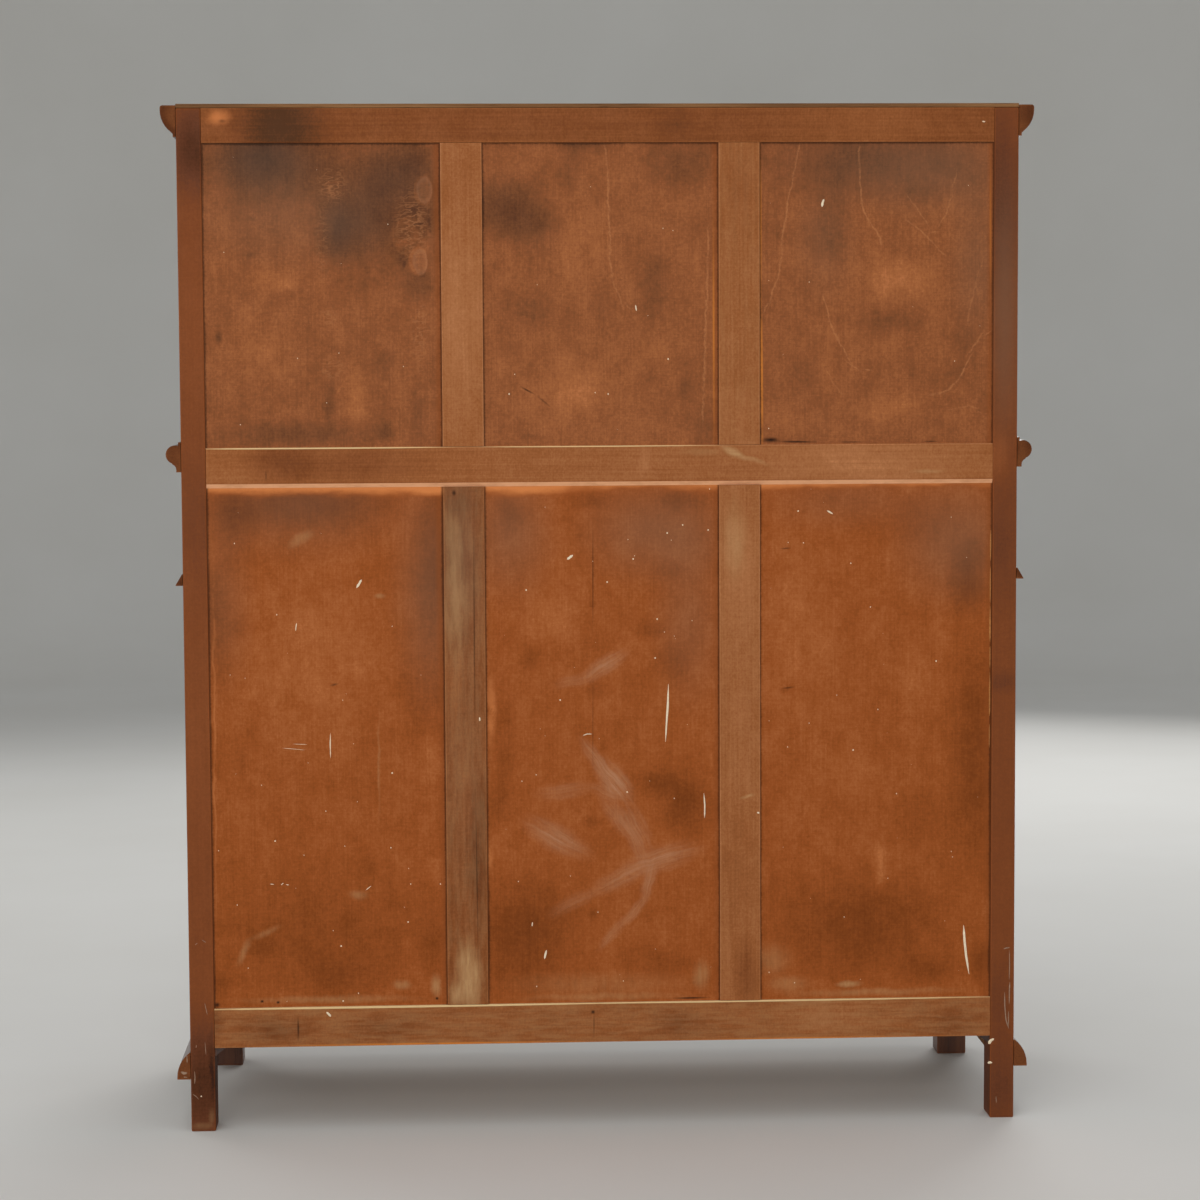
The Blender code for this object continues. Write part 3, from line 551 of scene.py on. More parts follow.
# %% [markdown]
# The show wood of the front and sides is oak, stained dark and waxed.
#
# Plain-sawn oak has three scales: growth lines that wander into arches, fine fibres, and short dark pores.
# The growth lines are contours: a slow noise, stretched along the grain, is multiplied up and sent through a
# sine. Polish rubs thin along the arrises, end grain drinks more stain, and hollows keep theirs.

# %% Oak finishes
POLISH_TONES = (
    (0.0, srgb(22, 12, 8)),
    (0.3, srgb(58, 31, 18)),
    (0.55, srgb(98, 54, 29)),
    (0.8, srgb(134, 80, 45)),
    (1.0, srgb(172, 112, 68)),
)
INSIDE_TONES = (
    (0.0, srgb(74, 48, 30)),
    (0.3, srgb(122, 84, 52)),
    (0.6, srgb(164, 120, 78)),
    (1.0, srgb(206, 166, 118)),
)
RING_COUNT = 46.0
GROWTH = (0.9, 8.0, 8.0)  # noise per metre along, across and through the grain, and so on
OAK_FIBRES = (9.0, 380.0, 380.0)
PORES = (34.0, 900.0, 900.0)
CLOUDS = (3.0, 12.0, 12.0)
PORE_EDGES = (0.58, 0.70)  # noise values where a pore begins and where it is full
RINGS_LIGHT, FIBRES_LIGHT, CLOUDS_LIGHT = 0.07, 0.26, 0.30  # how far each moves the tone
PORES_DARK, END_DARK = 0.16, 0.14
CLOUDS_ROUGH, PORES_ROUGH, END_ROUGH = 0.16, 0.12, 0.15
RUBBED_FROM, RUBBED_TO = 0.0002, 0.0030  # metres from an arris
PORES_DEEP, OAK_BUMP, GRAIN_DEPTH = 0.6, 0.35, 0.0004


def oak(name, tones, tone, roughness, shine, wear=0.22):
    """Oak of one tone on a ramp. wear is how far rubbing has lightened its arrises."""
    finish = Finish(name, shine=shine)
    grain = finish.painted("grain")
    rings = finish.maths("SINE", RING_COUNT * finish.noise(grain, GROWTH, 2.0, 0.5))
    fibres = finish.noise(grain, OAK_FIBRES, 4.0, 0.6)
    pores = finish.fade(finish.noise(grain, PORES, 2.0, 0.5), *PORE_EDGES)
    cloud = finish.noise(grain, CLOUDS, 3.0, 0.6)
    rim = rim_distance(finish) + RUBBED_TO * (cloud - 0.5)
    worn = finish.fade(rim, RUBBED_FROM, RUBBED_TO, wear, 0.0)
    end = finish.painted("end", "Fac")
    total = tone + RINGS_LIGHT * rings + FIBRES_LIGHT * (fibres - 0.5) + CLOUDS_LIGHT * (cloud - 0.5)
    total = total - PORES_DARK * pores + worn - END_DARK * end
    finish.feed(base_color=finish.ramp(total, tones))
    finish.feed(roughness=roughness + CLOUDS_ROUGH * (cloud - 0.5) + PORES_ROUGH * pores + END_ROUGH * end)
    finish.bump(fibres - PORES_DEEP * pores, OAK_BUMP, GRAIN_DEPTH)
    return finish


front_oak = oak("waxed_front", POLISH_TONES, tone=0.50, roughness=0.40, shine=0.45)
side_oak = oak("waxed_sides", POLISH_TONES, tone=0.56, roughness=0.46, shine=0.38)
inside_oak = oak("unpolished_inside", INSIDE_TONES, tone=0.52, roughness=0.74, shine=0.2, wear=0.1)
dark_oak = oak("waxed_dark", POLISH_TONES, tone=0.40, roughness=0.34, shine=0.5)
sawn_oak = oak("stained_ends", POLISH_TONES, tone=0.73, roughness=0.75, shine=0.08, wear=0.1)
dull_oak = oak("dull_top", INSIDE_TONES, tone=0.32, roughness=0.80, shine=0.1, wear=0.0)
print("oak: front, sides, inside, dark trim, sawn ends, dull top")

# %% [markdown]
# Every board of the back gets one recipe and its own marks.
#
# The back was stained in one go, so its plywood, rails and muntins differ only in tone, in the run of the
# grain and in what happened to them since. One number, the tone, gathers fibres, mottling and patches of
# stain, which also carry painted light and shade, and a ramp turns it into colour. Then the other kinds of
# marks lie over it in order, each as a paint with a mask: soot, a grey haze that is partly dust and partly a
# painted sheen, bare wood, painted highlights on ridges of lifted grain, wiped smears, dust, wrinkled veneer,
# dusty arrises with a painted highlight, worn edges that are partly a painted highlight, and dark hairlines,
# some of them painted shadow under a rail. Noise pushes the soft kinds about, so that no oval shows its
# outline, and a grit breaks them up.

# %% The stained back
PAINTS = {  # in the order in which they lie on the wood
    "soot": srgb(72, 61, 51),
    # A grey haze, partly dust and partly a painted sheen, most of all at the tops of the lower sheets
    "bloom": srgb(122, 93, 72),
    "bare": srgb(196, 118, 66),
    # Painted highlights on the lit side of ridges of lifted grain
    "raised": srgb(208, 138, 88),
    "wiped": srgb(182, 132, 98),
    "dust": srgb(196, 156, 108),
    "wrinkles": srgb(176, 116, 74),
    # Dust on the top arrises of the rails, with a painted highlight
    "arris": srgb(224, 192, 140),
    # Worn edges, partly a painted highlight along lit edges
    "worn": srgb(206, 124, 52),
    # Dark hairlines, and painted shadow lines under the top rail
    "dark": srgb(34, 20, 13),
}
CRISP = ("arris", "worn", "dark")
Marks = namedtuple("Marks", ("stains", *PAINTS), defaults=[()] * (1 + len(PAINTS)))
Texture = namedtuple("Texture", "fibres mottling flecks")
PLY_TEXTURE = Texture(0.26, 0.44, 0.62)
FRAME_TEXTURE = Texture(0.28, 0.22, 0.42)
POST_TEXTURE = Texture(0.16, 0.14, 0.36)
MOTTLING = (36.0, 36.0, 27.0)
FLECKS = (330.0, 330.0, 260.0)
CROSS_FIBRES = (520.0, 60.0, 60.0)
DUST_STREAKS = (22.0, 130.0, 130.0)
WRINKLES = (60.0, 60.0, 150.0)
CREASE_WIDTH, CREASE_LIGHT = 0.06, 0.6
LOOSE_WAVER, RIDGE_WAVER = (26.0, 0.013), (70.0, 0.009)  # waves per metre, and how far they push
FLECKS_SHARE, WEAVE_SHARE = 0.7, 0.3
WORN_FROM, WORN_TO, WORN_LIGHT, WORN_WAVER = 0.0004, 0.0022, 0.16, 0.002
BACK_DULL, BACK_SMOOTH, BACK_BUMP = 0.64, 0.52, 0.25
BACK_SHINE = 0.06  # specular level of dry, stained wood
FACING = 0.5  # a face looks along an axis if this much of its normal does


def looks_out(middle, normal):
    """Faces of the posts that belong to the polished sides."""
    return middle.x * normal.x > FACING * abs(middle.x)


def looks_in(middle, normal):
    """Faces of the back that look into the cupboard. They were never stained."""
    return normal.y < -FACING


def stained_board(name, tones, tone, marks, fibre_scale, texture, dusty=0.0):
    """A board of the back: its texture round one tone, then its marks. Returns finish, colour and tone."""
    finish = Finish(name, shine=BACK_SHINE)
    place, grain = finish.place(), finish.painted("grain")
    loose = wavering(finish, place, *LOOSE_WAVER)
    fibres = finish.noise(grain, fibre_scale, 4.0, 0.62)
    mottle = finish.noise(loose, MOTTLING, 5.0, 0.66)
    flecks = finish.noise(place, FLECKS, 2.0, 0.7)
    weave = finish.noise(grain, CROSS_FIBRES, 2.0, 0.6)
    speckle = finish.fade(finish.noise(grain, DUST_STREAKS, 5.0, 0.65), 0.35, 0.65)
    total = tone + texture.fibres * (fibres - 0.5) + texture.mottling * (mottle - 0.5)
    total = total + texture.flecks * (FLECKS_SHARE * flecks + WEAVE_SHARE * weave - 0.5)
    # The tone ovals are stain and also painted light and shade: lighter in the middle of the back, darker
    # towards its top and bottom
    if marks.stains:
        total = total + all_marks(finish, loose, marks.stains)
    rim = rim_distance(finish) + WORN_WAVER * (mottle - 0.5)
    colour = finish.ramp(total + finish.fade(rim, WORN_FROM, WORN_TO, WORN_LIGHT, 0.0), tones)
    relief = fibres

    def creases():
        folds = finish.noise(loose, WRINKLES, 2.0, 0.5)
        return finish.fade((folds - 0.5).size(), 0.0, CREASE_WIDTH, CREASE_LIGHT, 0.0)

    grit = {
        "bare": lambda: finish.fade(mottle, 0.25, 0.5),
        "raised": lambda: finish.fade(flecks, 0.3, 0.6, 0.3, 0.8),
        "dust": lambda: 0.6 + 0.4 * speckle,
        "wrinkles": creases,
        "arris": lambda: 0.7 + 0.3 * speckle,
        "worn": lambda: finish.fade(mottle, 0.3, 0.5, 0.3, 1.0),
    }
    for kind, paint in PAINTS.items():
        spots = getattr(marks, kind)
        if spots:
            where = place if kind in CRISP else loose
            where = wavering(finish, place, *RIDGE_WAVER) if kind == "raised" else where
            share = all_marks(finish, where, spots)
            share = share * grit[kind]() if kind in grit else share
            colour = finish.mix(share, colour, paint)
            relief = fibres + 2.0 * share if kind == "wrinkles" else relief
        if kind == "dust" and dusty:
            colour = finish.mix(dusty * speckle, colour, paint)
    finish.feed(roughness=finish.fade(mottle, 0.3, 0.7, BACK_DULL, BACK_SMOOTH))
    finish.bump(relief, BACK_BUMP, GRAIN_DEPTH)
    return finish, colour, total


def mark_count(members):
    return sum(len(spots) for marks in members for spots in marks)


print("paints of the back:", ", ".join(PAINTS))

# %% [markdown]
# The upper sheets are brown. Soot and painted shade darken their tops, and blisters and wrinkles show where
# the veneer lifts.
#
# Noise alone would give an even mottling, but the eye knows an old board by where its patches lie. So they
# are set down one by one. They also carry painted light and shade: the back is lighter in its middle, darker
# towards its top and bottom. Left and right are those of the front, so the back shows them swapped.

# %% Marks of the upper sheets
UPPER_TONES = (
    (0.0, srgb(88, 52, 32)),
    (0.3, srgb(118, 71, 41)),
    (0.5, srgb(142, 83, 47)),
    (0.7, srgb(166, 100, 57)),
    (1.0, srgb(207, 130, 81)),
)
UPPER_PLY_MARKS = {
    "right": Marks(
        soot=(
            Oval(262, 158, 74, 48, 0.50), Oval(354, 222, 50, 50, 0.26), Oval(336, 232, 20, 42, 0.20),
            Oval(395, 178, 56, 42, 0.26),
        ),
        wiped=(Ring(424, 190, 8, 14, 0.16), Ring(420, 262, 8, 14, 0.18)),
        bloom=(Oval(285, 212, 130, 72, 0.24),),
        wrinkles=(
            Oval(332, 185, 22, 24, 0.9), Oval(412, 225, 26, 52, 0.9), Oval(420, 330, 12, 60, 0.7),
            Oval(330, 316, 14, 14, 0.8), Oval(332, 368, 18, 18, 0.7), Oval(322, 240, 10, 60, 0.5),
        ),
        stains=(
            Oval(268, 160, 100, 70, -0.38), Oval(338, 232, 34, 52, -0.20),
            Oval(385, 200, 100, 110, -0.36), Oval(415, 160, 22, 28, -0.14), Oval(222, 230, 14, 90, 0.06),
            Oval(275, 278, 42, 20, 0.16), Oval(260, 350, 60, 50, 0.10), Oval(331, 400, 12, 42, -0.15),
            Oval(357, 400, 17, 52, 0.16), Oval(385, 362, 16, 26, -0.12), Oval(418, 285, 28, 28, -0.17),
            Oval(418, 415, 16, 42, -0.14), Oval(300, 434, 125, 20, -0.25), Oval(218, 338, 5, 9, -0.30),
            Oval(252, 254, 10, 5, -0.16), Oval(252, 219, 8, 4, -0.14), Ring(423, 190, 10, 16, 0.13),
            Ring(418, 261, 10, 16, 0.16), Ring(404, 234, 15, 12, 0.09), Ring(412, 246, 18, 9, 0.07),
            Stroke(396, 224, 412, 216, 2.0, 0.14), Stroke(394, 237, 410, 243, 2.0, 0.14),
            Stroke(402, 251, 420, 247, 2.0, 0.12), Stroke(404, 228, 428, 221, 2.4, -0.22),
            Stroke(408, 256, 402, 270, 2.4, -0.22), Stroke(427, 205, 431, 240, 2.2, -0.20),
            Stroke(318, 184, 350, 181, 2.0, 0.12), Stroke(330, 405, 352, 370, 2.2, 0.10),
            Oval(412, 212, 12, 9, -0.22), Oval(402, 258, 6, 12, -0.20), Oval(420, 276, 14, 5, -0.16),
            Oval(383, 432, 14, 14, -0.16), Oval(424, 215, 14, 26, -0.14),
        ),
    ),
    "middle": Marks(
        # A worn orange line down the sheet's edge, partly a painted highlight
        worn=(Stroke(713.5, 180, 714.5, 480, 1.8, 1.0),),
        stains=(
            Oval(585, 142, 45, 16, -0.24), Oval(680, 160, 62, 42, -0.19), Oval(504, 206, 58, 46, -0.36),
            Oval(535, 228, 44, 36, -0.22), Oval(570, 165, 18, 38, -0.13), Oval(575, 250, 35, 70, 0.08),
            Oval(600, 240, 14, 32, 0.08), Oval(655, 285, 26, 48, -0.16), Oval(530, 310, 36, 26, -0.12),
            Oval(600, 307, 18, 20, -0.09), Oval(572, 395, 32, 30, 0.12), Oval(655, 355, 30, 20, 0.08),
            Oval(690, 388, 18, 18, -0.14), Oval(705, 425, 30, 32, -0.12), Oval(530, 437, 16, 4, -0.14),
            Oval(575, 385, 95, 62, 0.08),
        ),
        # Painted highlights along ridges of lifted grain
        raised=(
            *trail(1.5, 0.42, (606, 153), (608, 182), (609, 211), (610, 238), (611, 263), (618, 294),
                   (628, 306)),
            *trail(1.9, 0.42, (708, 240), (707.5, 285), (706, 330), (704.5, 370), (703, 410)),
        ),
        dark=(
            Stroke(519, 386, 536, 395, 1.4, 0.8), Stroke(536, 395, 552, 408, 1.4, 0.5),
            # Painted shadow of the top rail along the top of the sheet
            Stroke(549, 142, 570, 142, 1.6, 0.8), Stroke(605, 142, 622, 141, 1.6, 0.8),
        ),
    ),
    "left": Marks(
        # Worn orange lines down the sheet's edges, partly a painted highlight
        worn=(
            Stroke(760.6, 120, 761.4, 320, 1.5, 0.9), Stroke(761.2, 270, 762.8, 480, 2.0, 1.2),
            Stroke(991.0, 130, 991.2, 330, 1.5, 0.8),
        ),
        soot=(Oval(870, 160, 150, 56, 0.24), Oval(960, 160, 50, 60, 0.12)),
        bloom=(Oval(930, 172, 130, 64, 0.26), Oval(978, 262, 40, 110, 0.24), Oval(824, 240, 46, 80, 0.16)),
        stains=(
            Oval(870, 160, 140, 52, -0.17), Oval(830, 225, 30, 60, -0.16), Oval(925, 195, 40, 18, -0.10),
            Oval(900, 278, 62, 34, 0.20), Oval(890, 322, 50, 17, -0.13), Oval(885, 348, 25, 14, 0.05),
            Oval(830, 365, 14, 46, 0.09), Oval(895, 408, 52, 30, 0.13), Oval(805, 375, 25, 36, -0.08),
            Oval(775, 230, 18, 50, -0.06), Oval(965, 360, 30, 70, -0.10), Oval(790, 425, 34, 22, 0.08),
        ),
        # Painted highlights along ridges of lifted grain
        raised=(
            *trail(1.4, 0.40, (799, 148), (794, 174), (788, 204), (784, 230), (780, 266), (773, 293),
                   (766, 307)),
            *trail(1.5, 0.42, (860, 152), (860, 175), (862, 198), (866, 214), (873, 225), (879, 235),
                   (881, 242)),
            *trail(1.3, 0.30, (910, 198), (918, 209), (926, 221), (934, 232), (943, 219), (949, 206),
                   (955, 180)),
            *trail(1.4, 0.38, (909, 221), (919, 228), (929, 238), (941, 251)),
            *trail(1.4, 0.42, (825, 300), (828, 313), (833, 329), (840, 342), (847, 355), (854, 367),
                   (868, 370)),
            *trail(1.5, 0.45, (933, 394), (944, 392), (952, 387), (961, 375), (967, 365), (976, 344),
                   (990, 332)),
            *trail(1.2, 0.22, (982, 265), (976, 286), (971, 306), (969, 320)),
            *trail(1.2, 0.25, (952, 410), (965, 407), (974, 407), (980, 412)),
            *trail(1.2, 0.22, (828, 372), (834, 383), (841, 393)),
        ),
        dark=(
            Oval(771, 440, 12, 3.6, 1.0), Stroke(772, 441.5, 822, 442, 1.6, 0.9),
            Stroke(835, 442, 868, 442, 1.2, 0.6), Stroke(922, 441.5, 940, 441.5, 1.2, 0.6),
        ),
    ),
}
print("upper sheets:", mark_count(UPPER_PLY_MARKS.values()), "marks")

# %% [markdown]
# The lower sheets are redder. Something was wiped over the middle one, and dust lies along their feet.
#
# They are listed like the upper ones. The smears of the wiping hand are what is seen first, so each sweep of
# the hand is a mark of its own.

# %% Marks of the lower sheets
LOWER_TONES = (
    (0.0, srgb(106, 52, 17)),
    (0.3, srgb(134, 69, 26)),
    (0.5, srgb(154, 81, 34)),
    (0.7, srgb(170, 98, 51)),
    (1.0, srgb(203, 125, 74)),
)
LOWER_PLY_MARKS = {
    "right": Marks(
        stains=(
            Oval(300, 503, 140, 42, -0.34), Oval(232, 525, 32, 48, -0.26), Oval(435, 560, 30, 115, -0.30),
            Oval(425, 690, 35, 90, -0.13), Oval(310, 660, 110, 145, 0.13), Oval(215, 620, 28, 95, -0.15),
            Oval(242, 628, 22, 18, -0.11), Oval(320, 930, 145, 95, -0.15), Oval(345, 975, 62, 30, -0.16),
            Oval(260, 948, 22, 16, -0.12), Oval(430, 940, 20, 58, -0.15), Oval(370, 865, 10, 14, -0.08),
            Oval(220, 985, 18, 26, -0.18), Oval(430, 755, 18, 42, 0.12), Oval(250, 590, 14, 10, -0.08),
            Oval(240, 762, 12, 28, -0.08),
        ),
        # A grey haze at the top of the sheet, partly dust and partly a painted sheen
        bloom=(Oval(300, 505, 150, 70, 0.30), Oval(430, 590, 50, 160, 0.35), Oval(222, 600, 40, 120, 0.22)),
        bare=(Stroke(212.5, 500, 216, 990, 1.8, 0.5),),
        dust=(
            Stroke(290, 545, 312, 533, 8, 0.30), Oval(380, 596, 8, 4, 0.40),
            Stroke(237, 966, 250, 940, 6, 0.30), Stroke(250, 940, 282, 926, 5, 0.25),
            Oval(358, 895, 14, 8, 0.30), Oval(401, 986, 14, 7, 0.40), Stroke(379, 690, 379, 840, 2, 0.18),
            Oval(436, 986, 8, 16, 0.60), Stroke(215, 1001, 441, 999, 6, 0.30),
        ),
        dark=(
            Oval(217, 1005.5, 4.5, 4, 0.9), Oval(262, 1002, 2.6, 2.2, 1.0),
            Oval(278, 1003, 2.6, 2.2, 1.0), Oval(437, 999, 2.4, 2.4, 1.0),
            Stroke(330, 686, 338, 684, 1.8, 0.6),
        ),
    ),
    "middle": Marks(
        stains=(
            Oval(590, 500, 42, 15, -0.18), Oval(685, 500, 42, 17, -0.22), Oval(508, 515, 20, 36, -0.17),
            Oval(548, 618, 36, 42, 0.15), Oval(665, 570, 36, 19, -0.13), Oval(650, 630, 25, 15, -0.17),
            Oval(675, 660, 27, 27, -0.15), Oval(530, 660, 14, 25, -0.13), Oval(595, 690, 14, 14, -0.17),
            Oval(505, 740, 18, 82, -0.15), Oval(658, 782, 32, 24, -0.26), Oval(685, 805, 42, 46, -0.32),
            Oval(592, 822, 14, 11, -0.24), Oval(500, 805, 22, 34, -0.15), Oval(525, 935, 85, 90, -0.31),
            Oval(660, 965, 52, 27, -0.15), Oval(593, 915, 8, 8, -0.18), Oval(592, 604, 6, 6, -0.16),
        ),
        # A grey haze at the top of the sheet, partly dust and partly a painted sheen
        bloom=(Oval(510, 530, 60, 90, 0.35), Oval(660, 530, 110, 70, 0.40), Oval(690, 620, 50, 120, 0.25)),
        bare=(Oval(491.5, 714, 7, 46, 0.9), Oval(490, 858, 6, 18, 0.7), Oval(711, 762, 4, 14, 0.5)),
        wiped=(
            Smear(586, 678, 624, 654, 12, 0.48), Smear(556, 686, 590, 676, 10, 0.22),
            Smear(582, 741, 605, 772, 10, 0.45), Smear(602, 766, 626, 794, 17, 0.70),
            Smear(605, 798, 631, 836, 13, 0.42), Smear(626, 800, 648, 850, 14, 0.32),
            Smear(628, 826, 643, 862, 10, 0.32), Smear(594, 893, 645, 866, 13, 0.40),
            Smear(630, 868, 694, 850, 18, 0.50), Smear(652, 866, 645, 900, 10, 0.45),
            Smear(648, 896, 622, 925, 8, 0.40), Smear(626, 920, 600, 948, 8, 0.36),
            Smear(530, 824, 584, 853, 18, 0.56), Smear(537, 795, 594, 787, 12, 0.26),
            Smear(594, 787, 618, 796, 10, 0.28), Smear(552, 914, 596, 892, 10, 0.30),
        ),
        dust=(
            Stroke(492, 986, 712, 984, 18, 0.16), Oval(702, 975, 12, 22, 0.35),
            Stroke(490, 999, 714, 996, 6, 0.25),
        ),
        dark=(
            Stroke(593, 505, 593, 650, 1.0, 0.6), Stroke(593, 650, 593, 800, 0.9, 0.35),
            Stroke(668, 999, 714, 998, 1.6, 0.9),
        ),
    ),
    "left": Marks(
        stains=(
            Oval(795, 640, 62, 155, 0.10), Oval(910, 520, 82, 42, -0.13), Oval(968, 575, 34, 58, -0.36),
            Oval(976, 760, 42, 190, -0.32), Oval(915, 680, 39, 29, 0.13), Oval(787, 690, 12, 8, -0.16),
            Oval(840, 770, 46, 42, 0.08), Oval(920, 820, 46, 62, -0.13), Oval(880, 865, 14, 36, 0.18),
            Oval(860, 925, 140, 85, -0.27), Oval(930, 970, 52, 23, -0.17), Oval(984, 962, 20, 34, -0.34),
            Oval(778, 880, 14, 18, -0.11), Oval(881, 878, 9, 18, 0.16),
            Stroke(879, 842, 881, 872, 4.5, 0.16),
        ),
        # A grey haze at the top of the sheet, partly dust and partly a painted sheen
        bloom=(Oval(960, 540, 90, 90, 0.40), Oval(850, 500, 110, 40, 0.20)),
        dust=(
            Oval(772, 960, 28, 24, 0.22), Oval(788, 985, 32, 12, 0.26), Oval(849, 984, 18, 5, 0.60),
            Stroke(762, 995, 985, 990, 6, 0.30),
        ),
        dark=(Stroke(780, 549, 792, 548, 1.4, 0.6), Stroke(781, 689, 796, 687, 1.6, 0.6)),
    ),
}
print("lower sheets:", mark_count(LOWER_PLY_MARKS.values()), "marks")

# %% [markdown]
# The plywood sheets lie a few millimetres inside the frame.
#
# Along their borders lies painted shade: a dark line at the sides, and along the top of the upper sheets,
# with a painted orange highlight beside it on one side. Under the bevel of the waist rail, a painted orange
# glow fades down the lower sheets. The border distances come from each sheet's opening, which is measured
# between the posts, muntins and rails that surround it.

# %% Plywood sheets
SIDES = ("left", "right")
PLY_FIBRES = (11.0, 420.0, 420.0)
BORDER_WAVER = 0.004
# Painted shade along the borders of the sheets, and a painted orange highlight beside it on one side
SHADE_LINE_WIDTH, SHADE_LINE_STRENGTH = 0.0035, 0.62
HIGHLIGHT_STRIP_WIDTH, HIGHLIGHT_STRIP_STRENGTH, HIGHLIGHT_ORANGE = 0.012, 0.55, srgb(140, 74, 32)
# Painted glow on the lower sheets: orange under the bevel of the waist rail, fading downwards
GLOW_DEPTH, GLOW_STRENGTH, GLOW = 0.016, 0.9, srgb(217, 133, 74)
EMBER_STRENGTH, EMBER = 0.85, srgb(164, 87, 39)
GLOW_CLOUDS, GLOW_DRIFT = (7.0, 7.0, 20.0), 0.034  # patches along the glow, and how far they move its edge
GLOW_LEVEL = 0.46  # noise value that leaves the edge in its place


def opening(bay, row):
    """The visible box of a sheet of the back, between the frame members round it."""
    posts = [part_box("back_post_left")[1].x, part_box("back_post_right")[0].x]
    muntins = [value.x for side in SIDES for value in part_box(f"{row}_muntin_{side}")]
    stops = [posts[0], *muntins, posts[1]]
    span = {"left": stops[0:2], "middle": stops[2:4], "right": stops[4:6]}[bay]
    below, above = ("waist", "top") if row == "upper" else ("bottom", "waist")
    depth = [value.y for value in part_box(f"{row}_back_panel_{bay}")]
    bottom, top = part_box(f"back_{below}_rail")[1].z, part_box(f"back_{above}_rail")[0].z
    return Vector((span[0], depth[0], bottom)), Vector((span[1], depth[1], top))


def plywood(row, bay, tones, tone, marks):
    """The finish of a sheet: a stained board, with painted shade and a painted highlight along its borders,
    and a painted glow under the waist rail on the lower sheets.
    """
    finish, colour, total = stained_board(f"{row}_ply_{bay}", tones, tone, marks, PLY_FIBRES, PLY_TEXTURE)
    inset = finish.vector("SUBTRACT", finish.painted("half"), finish.painted("place"))
    from_right, _, from_top = finish.parts(inset)
    inset = finish.vector("ADD", finish.painted("half"), finish.painted("place"))
    from_left, _, _ = finish.parts(inset)
    waver = BORDER_WAVER * (total - 0.5)
    # Painted highlight: an orange strip along one side of the sheet
    painted_highlight = finish.fade(from_left + 2 * waver, 0.3 * HIGHLIGHT_STRIP_WIDTH, HIGHLIGHT_STRIP_WIDTH, HIGHLIGHT_STRIP_STRENGTH, 0.0)
    colour = finish.mix(painted_highlight, colour, HIGHLIGHT_ORANGE)
    nearest = from_right.least(from_left)
    if row == "lower":
        # Painted glow: orange, brightest under the bevel and fading down the sheet
        drift = finish.noise(finish.place(), GLOW_CLOUDS, 5.0, 0.6) - GLOW_LEVEL
        from_bevel = from_top + waver + GLOW_DRIFT * drift
        ember = finish.fade(from_bevel, 0.2 * GLOW_DEPTH, GLOW_DEPTH, EMBER_STRENGTH, 0.0)
        colour = finish.mix(ember, colour, EMBER)
        glow = finish.fade(from_bevel, 0.0, 0.75 * GLOW_DEPTH, GLOW_STRENGTH, 0.0)
        colour = finish.mix(glow, colour, GLOW)
    else:
        nearest = nearest.least(from_top)
    # Painted shade: a dark line along the sides, and along the top of the upper sheets
    line = finish.fade(nearest + waver, 0.2 * SHADE_LINE_WIDTH, SHADE_LINE_WIDTH, SHADE_LINE_STRENGTH, 0.0)
    finish.feed(base_color=finish.mix(line, colour, PAINTS["dark"]))
    return finish


SHEETS = {
    "upper": (UPPER_TONES, {"right": 0.52, "middle": 0.54, "left": 0.53}, UPPER_PLY_MARKS),
    "lower": (LOWER_TONES, {"right": 0.50, "middle": 0.52, "left": 0.53}, LOWER_PLY_MARKS),
}
BAYS = tuple(UPPER_PLY_MARKS)
for bay in BAYS:
    for row, (tones, tone, marks) in SHEETS.items():
        finish = plywood(row, bay, tones, tone[bay], marks[bay])
        node, field = f"{row}_back_panel_{bay}", opening(bay, row)
        eased(node, finish, "Z", width=0.0, field=field, inside=looks_in)
print("back sheets:", len(SHEETS) * len(BAYS))
